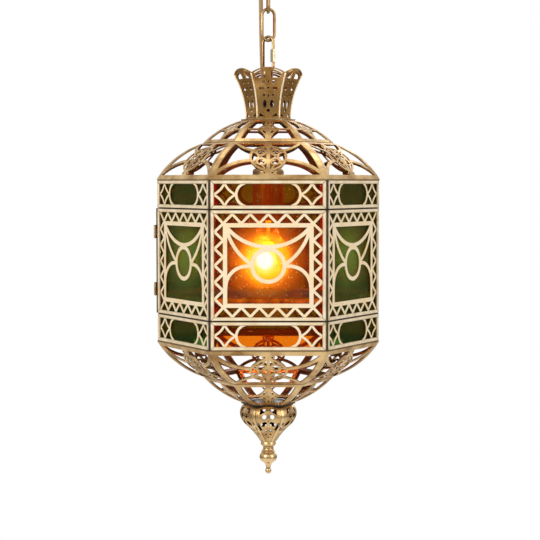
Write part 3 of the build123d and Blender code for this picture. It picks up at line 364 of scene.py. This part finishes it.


# The third colour of each brass is its inside colour, painted shade with a painted warm glow in
# it.
antique = brass("antique_brass", rgb(206, 174, 122), rgb(146, 112, 68), rgb(112, 56, 28))
crown_gold = brass("crown_brass", rgb(204, 160, 96), rgb(150, 110, 58), rgb(112, 60, 26))
turned_brass = brass("turned_brass", rgb(212, 182, 134), rgb(178, 146, 100),
                     rgb(178, 146, 100), grain=(20, 20, 420), roughness=0.24, pits=0.0)
champagne = brass("champagne_brass", rgb(250, 231, 196), rgb(236, 211, 166),
                  rgb(190, 140, 80), grain=(60, 60, 60), roughness=0.42, metal=0.5, pits=0.0)
umber = brass("umber_brass", rgb(44, 22, 14), rgb(24, 11, 8), rgb(40, 18, 10), metal=0.4)
shiny = brass("nickel", rgb(206, 196, 168), rgb(150, 138, 108), rgb(150, 138, 108),
              roughness=0.22)
zinc = brass("zinc_plate", rgb(190, 190, 185), rgb(150, 150, 148), rgb(120, 120, 118))
print("seven metals, the first of", len(antique.node_tree.nodes), "nodes")

# %% [markdown]
# The champagne frames are lacquered. Their outer and inner edges and their mitres are drawn
# darker, which draws a fine line round every frame. The distance from those edges is a short sum
# in side coordinates, and the heights come from each row of frames itself.

# %% dark lines round the frames
frame_bar = 4.9 * MM
frame_half_width = 73.4 * MM
line_width = 1.1 * MM
frame_cream, frame_shade = rgb(252, 235, 202), rgb(238, 214, 170)
edge_line_dark = rgb(42, 16, 8)


def lined_frames(name, node):
    low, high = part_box(node)[0][2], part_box(node)[1][2]
    half_height, middle = (high - low) / 2, (high + low) / 2
    finish = Finish(name, Metallic=0.6)
    across, z = side_coordinates(finish)
    sideways = frame_half_width - across.maths("ABSOLUTE")
    upwards = half_height - (z - middle).maths("ABSOLUTE")
    outer = sideways.maths("MINIMUM", upwards)
    outer_line = outer.step(line_width, line_width * 0.5)
    inner_line = outer.step(frame_bar - line_width * 0.9, frame_bar - line_width * 0.4)
    mitre = (sideways - upwards).maths("ABSOLUTE").step(line_width * 0.7, line_width * 0.3)
    # The frames are drawn darker along their outer and inner edges and their mitres.
    dark = outer_line.maths("MAXIMUM", inner_line * 0.55).maths("MAXIMUM", mitre * 0.8)
    cloud = finish.noise(70.0, 3.0)
    grain = finish.noise(streak_scale, 3.0, finish.stretched((90, 90, 90)))
    skin = finish.mix(cloud.step(0.35, 0.65), frame_shade, frame_cream)
    finish.feed("Base Color", finish.mix(dark * 0.94, skin, edge_line_dark))
    finish.feed("Roughness", 0.36 + cloud * 0.12 + dark * 0.2)
    finish.feed("Normal", finish.bump(grain - dark * 0.6, 0.18, 0.3 * MM))
    print(name, "half height", round(half_height * 1000, 1), "mm")
    return finish.material


upper_lined = lined_frames("upper_frame_brass", "upper_frames")
window_lined = lined_frames("window_frame_brass", "window_frames")
lower_lined = lined_frames("lower_frame_brass", "lower_frames")

# %% [markdown]
# ## Coloured glass
# Seedy glass is clear, wavy and full of tiny bubbles. Light goes straight through and is coloured
# twice, once at each face, so each face takes the square root of the pane's colour. A thin film
# of ordinary shader lies over that, for gloss and for the bubbles. A painted glow is put into it
# where the lamp stands close behind the pane. Two small helpers draw that painted glow, and the
# painted glint and painted shade band near the window's foot.

# %% painted light and shade in the glass
glare_reach = 40 * MM
glare_left, glare_up = 5 * MM, 7 * MM
neck_rise, neck_reach = 28 * MM, 13 * MM
wave_drift = 12 * MM
window_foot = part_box("window_frets")[0][2] + 12 * MM


def falling_off(finish, span):
    """1 where span is 0, falling away to 0 as it grows."""
    return finish.node("Math", {"operation": "EXPONENT"}, {0: span * -1})


def shelf(height, wander, foot, foot_full, head_full, head):
    """1 between two heights, with a soft straight foot and a soft wandering head."""
    return height.step(foot, foot_full) * (height + wander).step(head, head_full)


def painted_lamp_glare(finish, across, z, waves, drift):
    """Painted light: the lamp's glow, a painted glint of its neck above it and a painted glint on
    the sill below.
    """
    sideways = across + drift + glare_left
    rise = z - globe_centre.z - glare_up + drift * 0.5
    near = falling_off(finish, (sideways * sideways + rise * rise) / glare_reach ** 2)
    neck = rise - neck_rise
    neck_span = (sideways * sideways * 1.4 + neck * neck * 2.6) / neck_reach ** 2
    glint = falling_off(finish, neck_span)
    sill = shelf(z - window_foot, drift * 0.3, 8 * MM, 11 * MM, 15 * MM, 18 * MM)
    return near.maths("MAXIMUM", glint * 0.84).maths("MAXIMUM", sill * waves * 0.62)


print("window foot at", round(window_foot, 4))

# %% [markdown]
# The two glasses differ in tint, in how much painted glow of the lamp they show and in their
# painted shade band. The band is a darker streak painted at one height near the window's foot.

# %% glass finishes
bubble_scale = 300.0
painted_shade_brown = rgb(40, 12, 4)


def seedy_glass(name, tint, body, glare, veil, haze, painted_shade_amount):
    """Glass with bubbles. glare is a row of (nearness, colour) stops for the lamp's painted glow.
    """
    finish = Finish(name, Roughness=0.08, IOR=1.5, Emission_Strength=1.0)
    waves = finish.noise(85.0, 2.0)
    spots = {"Vector": finish.place(), "Scale": bubble_scale}
    cells = finish.node("TexVoronoi", {}, spots, "Distance")
    chance = finish.node("TexVoronoi", {}, spots, "Color")
    rare = finish.node("SeparateColor", {}, {0: chance}).step(0.62, 0.66)
    seeds = cells.step(0.30, 0.12) * rare
    across, z = side_coordinates(finish)
    drift = (waves - 0.5) * wave_drift
    # light is painted light: the lamp's glow and glints drawn into the pane as emission.
    light = painted_lamp_glare(finish, across, z, waves, drift)
    band = shelf(z - window_foot, drift * 0.7, 16 * MM, 18 * MM, 26 * MM, 30 * MM)
    # A painted shade band: a darker streak painted at one height above the window's foot.
    painted_shade_band = band * painted_shade_amount * (0.6 + waves * 0.8)
    # The bubbles take the glare's bright colour, a painted glint.
    seeded = finish.mix(seeds * 0.5, body, glare[-2][1])
    finish.feed("Base Color", finish.mix(painted_shade_band, seeded, painted_shade_brown))
    finish.feed("Emission Color", finish.node("ValToRGB", {"stops": glare}, {0: light}))
    finish.feed("Normal", finish.bump(waves + seeds * 0.3, 0.5, 2 * MM))
    edge = finish.node("Fresnel", {}, {"IOR": 1.5})
    film = haze + seeds * 0.22 + waves.step(0.5, 0.8) * 0.06 + edge * 0.5 + light * veil
    finish.film_over(film.maths("MAXIMUM", painted_shade_band), tint)
    return finish.material


# Colours of the painted glow, from none far from the lamp to a painted white-hot middle.
amber_glare = [(0.0, (0, 0, 0, 1)), (0.18, (0.06, 0.012, 0, 1)), (0.42, (0.40, 0.12, 0, 1)),
               (0.64, (0.95, 0.44, 0, 1)), (0.80, (1.0, 0.70, 0.02, 1)),
               (0.90, (1.0, 0.88, 0.16, 1)), (0.955, (1, 1, 1, 1))]
green_glare = [(0.0, (0, 0, 0, 1)), (0.3, (0.035, 0.036, 0.004, 1)),
               (1.0, (0.10, 0.095, 0.01, 1))]
amber_glass = seedy_glass("amber_glass", (0.90, 0.435, 0.06, 1), rgb(196, 78, 8), amber_glare,
                          veil=0.85, haze=0.05, painted_shade_amount=0.8)
green_glass = seedy_glass("green_glass", (0.31, 0.52, 0.20, 1), rgb(70, 84, 28), green_glare,
                          veil=0.25, haze=0.065, painted_shade_amount=0.25)
print("glass of", len(amber_glass.node_tree.nodes), "nodes")

# %% [markdown]
# ## The lamp's glass and light
# The globe is thin clear glass with a faint warm haze from the light inside it. The haze
# is the film over a transparent shader again. What burns is a separate finish, bright
# enough to be white in the picture.

# %% lamp finishes
globe_tint = (0.98, 0.97, 0.93, 1)


def hazy_globe():
    finish = Finish("lamp_globe_glass", Base_Color=(0.9, 0.85, 0.7, 1), Roughness=0.05,
                    Emission_Strength=2.2)
    _, _, z = finish.axes()
    from_middle = (z - globe_centre.z) / globe_radius
    warmth = (from_middle * from_middle).step(1.9, 0.0)
    glow = finish.mix(warmth, (0.12, 0.05, 0.01, 1), (1.0, 0.72, 0.22, 1))
    finish.feed("Emission Color", glow)
    edge = finish.node("Fresnel", {}, {"IOR": 1.5})
    finish.film_over(edge * 0.4 + warmth * 0.10, globe_tint)
    return finish.material


def glowing(name, colour, strength):
    finish = Finish(name, Emission_Color=colour, Emission_Strength=strength, Roughness=0.4)
    mottle = finish.noise(900.0)
    finish.feed("Base Color", finish.mix(mottle, (0.9, 0.75, 0.4, 1), (1, 0.9, 0.7, 1)))
    return finish.material


globe_glass = hazy_globe()
hot_strand = glowing("hot_strand", (1.0, 0.88, 0.62, 1), 150.0)
# The glass stem glows as painted light: a painted glint of the lamp's light caught in its head.
stem_painted_glow = glowing("stem_painted_glow", (1.0, 0.72, 0.28, 1), 4.0)
print("globe radius", round(globe_radius * 1000, 1), "mm")

# %% [markdown]
# ## Matt finishes
# Plastic, sleeving and the painted shade on the posts have no grain that follows a tool. A fine
# even noise gives each a little colour and bump. The posts and rails behind the frames are
# painted near black-brown as painted shade of the gaps there. That painted shade hardly shines,
# so its gloss is turned down.

# %% plastic, sleeves and painted shade
fleck_shade = 0.76
usual_gloss = 0.5


def matt(name, colour, roughness, gloss=usual_gloss):
    finish = Finish(name, Specular_IOR_Level=gloss)
    grain = finish.noise(700.0, 3.0)
    darker = tuple(channel * fleck_shade for channel in colour[:3]) + (1,)
    finish.feed("Base Color", finish.mix(grain, darker, colour))
    finish.feed("Roughness", grain * 0.15 + roughness)
    finish.feed("Normal", finish.bump(grain, 0.15, 0.3 * MM))
    return finish.material


black_plastic = matt("black_plastic", rgb(40, 36, 34), 0.45)
white_plastic = matt("terminal_plastic", rgb(236, 232, 222), 0.4)
# Painted shade: the posts and rails are painted near black-brown for the gaps behind the frames.
painted_gap_shade = matt("painted_gap_shade_brass", rgb(50, 16, 8), 0.85, gloss=0.1)
lead_sleeve = matt("lead_sleeve", rgb(222, 216, 200), 0.5)
print("four matt finishes")

# %% [markdown]
# ## Which piece has which finish
# The frames, frets and door are champagne brass, the sheet work is antique brass, and the posts
# and rails behind the frames are painted dark as painted shade. Each node of the design model
# keeps its shape and only changes its finish.

# %% finishes on the design model's nodes
finishes = {
    antique: ["canopy_cup", "canopy_cap_nuts", "canopy_loop", "chain_link_upper",
              "chain_link_lower", "quick_link", "lantern_loop", "stem_tube", "stem_nuts",
              "dome_upper_panels", "dome_lower_panels", "top_rails",
              "bottom_rails", "bowl_large_panels", "bowl_small_panels", "bud_petals",
              "lampholder_cover", "hinge_leaves_fixed", "hinge_leaves_door", "door_knob",
              "crown_base_plate"],
    crown_gold: ["crown_panels"],
    turned_brass: ["bud_ribs", "finial"],
    champagne: ["upper_frets", "window_frets", "lower_frets", "door_fret"],
    upper_lined: ["upper_frames"],
    window_lined: ["window_frames", "door_frame"],
    lower_lined: ["lower_frames"],
    # Painted shade on the posts and rails behind the frames.
    painted_gap_shade: ["corner_posts", "band_rails"],
    umber: ["top_hub", "glass_clips",
            "bottom_plate", "hinge_pins", "thread_shell", "contact_tab"],
    zinc: ["ceiling_bracket", "canopy_studs", "canopy_lock_nut", "tie_rod", "lamp_cap"],
    shiny: ["quick_link_nut"],
    amber_glass: ["upper_glass_amber", "window_glass_amber", "lower_glass_amber", "door_glass"],
    green_glass: ["upper_glass_green", "window_glass_green", "lower_glass_green"],
    globe_glass: ["lamp_glass"],
    hot_strand: ["filament"],
    black_plastic: ["lampholder", "canopy_cord_bush"],
    white_plastic: ["terminal_block"],
    lead_sleeve: ["inner_lead", "supply_cord"],
}


def paint(piece, material):
    piece.data.materials.clear()
    piece.data.materials.append(material)


for material, names in finishes.items():
    for name in names:
        paint(nodes[name], material)
print("finished", sum(len(names) for names in finishes.values()), "of", len(nodes), "nodes")

# %% [markdown]
# ## The supply cord
# A sleeved cord runs down beside the chain, out of the canopy's bush and into the hub. It
# is one smooth curve through a few places that the real cord passes.

# %% the cord's route
cord_diameter = 5.6 * MM
cord_route = [(-10.2, 10, -19), (-10.1, 10, -42), (-9.8, 10.7, -86), (-9.0, 11.0, -136),
              (-7.6, 10.6, -172), (-6.5, 10, -200), (-6.5, 10, -217)]


def smooth_line(places):
    """Points along a NURBS spline that the route's places pull."""
    curve = bpy.data.curves.new("cord_route", "CURVE")
    curve.dimensions = "3D"
    spline = curve.splines.new("NURBS")
    spline.points.add(len(places) - 1)
    for point, place in zip(spline.points, places):
        point.co = (*(Vector(place) * MM), 1)
    spline.order_u = 3
    spline.use_endpoint_u = True
    spline.resolution_u = 16
    holder = bpy.data.objects.new("cord_route", curve)
    scene.collection.objects.link(holder)
    bpy.context.view_layer.update()
    line = [v.co.copy() for v in bpy.data.meshes.new_from_object(holder).vertices]
    bpy.data.objects.remove(holder)
    return line


def line_length(line):
    return sum((b - a).length for a, b in zip(line, line[1:]))


cord_line = smooth_line(cord_route)
print("cord", round(line_length(cord_line) * 1000, 1), "mm in", len(cord_line), "points")

# %% [markdown]
# A tube is a row of rings, one at each point of the line, square to it. Its own UV map
# runs round the cord one way and along it in metres the other way, so that the braid
# follows the cord.

# %% a tube along a line
tube_sides = 20


def tube_rings(line, diameter):
    """The rings' points, and how far along the line each ring is."""
    points, travel = [], []
    travelled = 0.0
    for i, point in enumerate(line):
        ahead = (line[min(i + 1, len(line) - 1)] - line[max(i - 1, 0)]).normalized()
        side = ahead.cross(Vector((0, 1, 0))).normalized()
        front = ahead.cross(side)
        if i:
            travelled += (point - line[i - 1]).length
        for k in range(tube_sides):
            turn = 2 * pi * k / tube_sides
            points.append(point + (side * cos(turn) + front * sin(turn)) * diameter / 2)
        travel.append(travelled)
    return points, travel


def tube(name, line, diameter):
    points, travel = tube_rings(line, diameter)
    faces = []
    for i in range(len(line) - 1):
        low, high = i * tube_sides, (i + 1) * tube_sides
        for k in range(tube_sides):
            after = (k + 1) % tube_sides
            faces.append((low + k, low + after, high + after, high + k))
    faces.append(tuple(range(tube_sides))[::-1])
    faces.append(tuple((len(line) - 1) * tube_sides + k for k in range(tube_sides)))
    mesh = bpy.data.meshes.new(name)
    mesh.from_pydata(points, [], faces)
    layer = mesh.uv_layers.new(name="braid")
    for polygon in mesh.polygons:
        for loop, vertex in zip(polygon.loop_indices, polygon.vertices):
            ring_number, k = divmod(vertex, tube_sides)
            whole_turn = k == 0 and polygon.index % tube_sides == tube_sides - 1
            layer.data[loop].uv = (1.0 if whole_turn else k / tube_sides, travel[ring_number])
    piece = bpy.data.objects.new(name, mesh)
    scene.collection.objects.link(piece)
    for polygon in mesh.polygons[:-2]:
        polygon.use_smooth = True
    return piece

# %% [markdown]
# ## Solder on the crown
# The crown's six panels meet along curved hips, and each hip carries a bright bead of
# solder. A bead is the same kind of tube. Its curve is a shallow bow between two points
# of the crown's side view, the foot and the tip. All six are joined into one piece.

# %% pieces joined into one
def only(piece):
    bpy.ops.object.select_all(action="DESELECT")
    piece.select_set(True)
    bpy.context.view_layer.objects.active = piece


def joined(pieces, name):
    only(pieces[0])
    for piece in pieces[1:]:
        piece.select_set(True)
    if len(pieces) > 1:
        bpy.ops.object.join()
    whole = bpy.context.object
    whole.name = name
    whole.data.name = name
    bpy.ops.object.select_all(action="DESELECT")
    return whole

# %% solder beads on the crown
crown_low, crown_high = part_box("crown_panels")
crown_foot = Vector((25.5 * MM, crown_low[2]))
crown_tip = Vector((43.6 * MM, crown_high[2]))
crown_sag = 4.6 * MM
bead_end = 0.88
bead_width = 2.1 * MM
bead_sink = 0.2 * MM
bead_steps = 16


def hip_line(turn):
    """Points up one hip, from its foot to just under the lobes."""
    chord = crown_tip - crown_foot
    inwards = Vector((-chord.y, chord.x)).normalized()
    line = []
    for k in range(bead_steps + 1):
        along = bead_end * k / bead_steps
        flat = crown_foot + chord * along + inwards * crown_sag * 4 * along * (1 - along)
        radius = flat.x / cos(side_angle / 2) - bead_sink
        line.append(Vector((radius * sin(turn), -radius * cos(turn), flat.y)))
    return line


beads = [tube("bead", hip_line(side_angle / 2 + k * side_angle), bead_width) for k in range(6)]
crown_beads = joined(beads, "crown_beads")
paint(crown_beads, champagne)
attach(crown_beads, "lantern")
print("six beads,", len(crown_beads.data.polygons), "faces")

# %% [markdown]
# ## The cord's sleeve
# The sleeve is a tight textile braid. Two sets of strands cross at an angle, so the braid
# is the product of two slanted waves, and it feeds a little bump and a little colour.

# %% braided sleeve
braid_length = 2.2 * MM
braid_strands = 8


def braided_sleeve():
    finish = Finish("braided_sleeve", Sheen_Weight=0.3)
    braid_map = finish.node("UVMap", {"uv_map": "braid"}, {})
    split = finish.node("SeparateXYZ", {}, {0: braid_map}).socket.node
    round_it, along = Value(finish, split.outputs[0]), Value(finish, split.outputs[1])
    turns = round_it * (2 * pi * braid_strands)
    climbs = along * (2 * pi / braid_length)
    weave = ((turns + climbs).maths("SINE") * (turns - climbs).maths("SINE")) * 0.5 + 0.5
    finish.feed("Base Color", finish.mix(weave, rgb(120, 92, 52), rgb(196, 162, 108)))
    finish.feed("Roughness", 0.75 - weave * 0.15)
    finish.feed("Normal", finish.bump(weave, 0.6, 0.3 * MM))
    return finish.material


sleeve = braided_sleeve()
print("braid of", braid_strands, "strands each way")

# %% [markdown]
# The chain swings at four places, and a piece can blend across one joint only. The cord is
# cut into four lengths, each a tube that starts where the last one ends. The cuts lie
# between the joints.

# %% four lengths of cord
cuts = [0.0, -68 * MM, -104 * MM, -144 * MM, -1.0]
swings = [("canopy", "upper_link", "upper_link_swing", 13 * MM),
          ("upper_link", "lower_link", "lower_link_swing", 13 * MM),
          ("lower_link", "shackle", "shackle_swing", 13 * MM),
          ("shackle", "lantern", "lantern_swing", 15 * MM)]
for (above, below), (upper, lower, joint_name, spread) in zip(zip(cuts, cuts[1:]), swings):
    inside = [p for p in cord_line if below <= p.z <= above]
    nearest = [p for p in cord_line if p.z < below][:1]
    stretch = inside + nearest
    length = line_length(stretch)
    section = tube("cord_beside_" + lower, stretch, cord_diameter)
    paint(section, sleeve)
    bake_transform(section)
    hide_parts("supply_cord")
    print(section.name, round(length * 1000, 1), "mm")

# %% [markdown]
# ## Wavy panes
# The design model's panes are flat slabs. Hand-rolled glass is never flat: its faces drift
# by a fraction of a millimetre. A slab could be sculpted, but a grid that is displaced by
# a soft cloud and then given a thickness does the same and is repeatable. Each pane is
# modelled flat, from its own part of the cloud, and then stood up on its side.

# %% a sheet of wavy glass
pane_step = 3 * MM
wave_height = 0.45 * MM
edge_round = 0.3 * MM
cloud_across, cloud_up = 0.31, 0.17
slow_waves = bpy.data.textures.new("slow_waves", "CLOUDS")
slow_waves.noise_scale = 16 * MM


def apply_all(piece):
    bpy.context.view_layer.objects.active = piece
    for modifier in list(piece.modifiers):
        bpy.ops.object.modifier_apply(modifier=modifier.name)


def wavy_sheet(name, width, height, seed):
    """A grid displaced by the part of the cloud that seed picks."""
    bpy.ops.mesh.primitive_grid_add(x_subdivisions=round(width / pane_step),
                                    y_subdivisions=round(height / pane_step), size=1)
    sheet = bpy.context.object
    sheet.name = name
    bpy.ops.object.mode_set(mode="EDIT")
    bpy.ops.transform.resize(value=(width, height, 1))
    bpy.ops.object.mode_set(mode="OBJECT")
    waves = sheet.modifiers.new("waves", "DISPLACE")
    waves.texture = slow_waves
    waves.texture_coords = "LOCAL"
    waves.strength = wave_height
    waves.mid_level = 0.5
    sheet.data.transform(Matrix.Translation((seed * cloud_across, seed * cloud_up, 0)))
    apply_all(sheet)
    sheet.data.transform(Matrix.Translation((-seed * cloud_across, -seed * cloud_up, 0)))
    return sheet

# %% [markdown]
# The sheet gets its thickness and a rounded edge, and is turned upright and round to its
# side. Its box is the slab's box.

# %% one pane
def wavy_pane(name, low, high, side_turn, seed):
    """A pane that fills the box between two corners of the front side's pane."""
    width, depth, height = high - low
    pane = wavy_sheet(name, width, height, seed)
    thick = pane.modifiers.new("thickness", "SOLIDIFY")
    thick.thickness = depth - wave_height
    thick.offset = 0
    rounded = pane.modifiers.new("rounded_edge", "BEVEL")
    rounded.width = edge_round
    rounded.segments = 2
    rounded.limit_method = "ANGLE"
    rounded.angle_limit = radians(50)
    apply_all(pane)
    middle = (low + high) / 2
    upright = Matrix.Translation(middle) @ Matrix.Rotation(pi / 2, 4, "X")
    pane.data.transform(Matrix.Rotation(side_turn, 4, "Z") @ upright)
    for polygon in pane.data.polygons:
        polygon.use_smooth = True
    return pane

# %% [markdown]
# The amber panes stand at the front, the rear right and the rear left, and the green ones
# between them. The rear-left window is the door's, whose glass is thinner and stands
# further out, and it moves with the door.

# %% the fixed panes
inner_face = 0.12
door_side = 4
glazing = [("amber", (0, 2, 4), amber_glass), ("green", (1, 3, 5), green_glass)]


def corners(points):
    low = Vector([min(p[k] for p in points) for k in range(3)])
    high = Vector([max(p[k] for p in points) for k in range(3)])
    return low, high


for row in ("upper", "window", "lower"):
    slab = nodes[row + "_glass_amber"].data
    low, high = corners([v.co for v in slab.vertices if v.co.y < -inner_face])
    for colour, sides, glass in glazing:
        here = [side for side in sides if (row, side) != ("window", door_side)]
        panes = [wavy_pane("pane", low, high, side * side_angle, side + 1) for side in here]
        whole = joined(panes, f"{row}_panes_{colour}")
        paint(whole, glass)
        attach(whole, "lantern")
        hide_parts(f"{row}_glass_{colour}")
        print(whole.name, len(here), "panes,", len(whole.data.polygons), "faces")

# %% the door's pane
door_seed = 9
turned_back = Matrix.Rotation(-door_side * side_angle, 4, "Z")
low, high = corners([turned_back @ v.co for v in nodes["door_glass"].data.vertices])
door_pane = wavy_pane("door_pane", low, high, door_side * side_angle, door_seed)
paint(door_pane, amber_glass)
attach(door_pane, "door")
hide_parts("door_glass")
print(door_pane.name, len(door_pane.data.polygons), "faces")

# %% [markdown]
# ## Inside the lamp
# The globe is clear, so its inside shows: a flared glass stem with a pinched head, two
# lead wires, and a cage of hot strands strung between two rings. The design model has one
# pillar there, and these pieces replace it. The stem is a profile spun about the axis.

# %% the glass stem
def turned(name, profile, steps=40):
    """A turned piece: a profile of (radius, height) points, spun about the lantern's axis."""
    bpy.ops.mesh.primitive_plane_add(size=1)
    piece = bpy.context.object
    piece.name = name
    bpy.ops.object.mode_set(mode="EDIT")
    bpy.ops.mesh.delete(type="VERT")
    bpy.ops.object.mode_set(mode="OBJECT")
    piece.data.from_pydata([(r, 0, z) for r, z in profile],
                           [(i, i + 1) for i in range(len(profile) - 1)], [])
    bpy.ops.object.mode_set(mode="EDIT")
    bpy.ops.mesh.select_all(action="SELECT")
    bpy.ops.mesh.spin(steps=steps, angle=2 * pi, center=(0, 0, 0), axis=(0, 0, 1))
    bpy.ops.mesh.select_all(action="SELECT")
    bpy.ops.mesh.remove_doubles(threshold=0.02 * MM)
    bpy.ops.mesh.normals_make_consistent(inside=False)
    bpy.ops.object.mode_set(mode="OBJECT")
    only(piece)
    bpy.ops.object.shade_smooth_by_angle(angle=radians(35))
    return piece


pillar_low, pillar_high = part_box("filament")
stem_top = pillar_high[2]
stem_profile = [(0, 0), (3.9, 0), (3.8, -2), (2.6, -6), (2.2, -14), (2.4, -20), (3.0, -22),
                (2.6, -24.5), (1.2, -26), (0.9, -30), (0.9, -52), (1.6, -54), (0, -55)]
glass_stem = turned("lamp_glass_stem", [(r * MM, stem_top + z * MM) for r, z in stem_profile])
# The stem is given the painted glow.
paint(glass_stem, stem_painted_glow)
print("stem", len(glass_stem.data.polygons), "faces")

# %% [markdown]
# The strands are thin cylinders leaned outwards, because the cage is narrow at its top,
# and a torus ties their feet.

# %% the cage of strands
strand_count = 12
strand_radius = 0.6 * MM
foot_ring_wire = 0.45 * MM
cage_foot = pillar_low[2] + 1 * MM
cage_head = stem_top - 29 * MM
cage_radius = (pillar_high[0] - pillar_low[0]) / 2 - 1 * MM
head_radius = 0.52 * cage_radius


def rod(start, end, radius, sides=8):
    """A thin round rod between two points, capped, its place in its mesh."""
    start, end = Vector(start), Vector(end)
    lean = (end - start).to_track_quat("Z", "Y").to_euler()
    bpy.ops.mesh.primitive_cylinder_add(vertices=sides, radius=radius, depth=(end - start).length,
                                        location=(start + end) / 2, rotation=lean)
    bpy.ops.object.transform_apply(location=True, rotation=True, scale=True)
    return bpy.context.object


def ring(height, radius, thickness):
    bpy.ops.mesh.primitive_torus_add(major_radius=radius, minor_radius=thickness,
                                     major_segments=40, minor_segments=8,
                                     location=(0, 0, height))
    bpy.ops.object.transform_apply(location=True, rotation=True, scale=True)
    return bpy.context.object


def round_axis(radius, turn, height):
    return (radius * cos(turn), radius * sin(turn), height)


strands = []
for k in range(strand_count):
    turn = 2 * pi * k / strand_count
    strands.append(rod(round_axis(head_radius, turn, cage_head),
                       round_axis(cage_radius, turn, cage_foot), strand_radius))
strands.append(ring(cage_foot, cage_radius, foot_ring_wire))
cage = joined(strands, "lamp_strands")
paint(cage, hot_strand)
print("cage", len(cage.data.polygons), "faces")

# %% [markdown]
# Four spokes at each end hold the cage to the stem, a ring ties the strands' heads, and
# two lead wires come down inside the stem's flare.

# %% holder wires
spoke_count = 4
spoke_radius, lead_radius, head_ring_wire = 0.25 * MM, 0.3 * MM, 0.4 * MM
hub_radius, spoke_rise = 0.6 * MM, 1 * MM
lead_spread, lead_pinch, lead_drop = 2.9 * MM, 2.2 * MM, 27 * MM

holders = [ring(cage_head, head_radius, head_ring_wire)]
for k in range(spoke_count):
    turn = pi / 4 + k * pi / 2
    for height, radius in ((cage_head, head_radius), (cage_foot, cage_radius)):
        holders.append(rod(round_axis(hub_radius, turn, height + spoke_rise),
                           round_axis(radius, turn, height), spoke_radius, 6))
for hand in (-1, 1):
    holders.append(rod((hand * lead_spread, 0, stem_top),
                       (hand * lead_pinch, 0, stem_top - lead_drop), lead_radius, 6))
holder_wires = joined(holders, "lamp_holder_wires")
paint(holder_wires, shiny)
for piece, finish_slot in ((glass_stem, "clear_glass"), (cage, "lamp_filament"),
                           (holder_wires, "zinc_steel")):
    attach(piece, "lamp")
    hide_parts("filament")
print("holder wires", len(holder_wires.data.polygons), "faces")
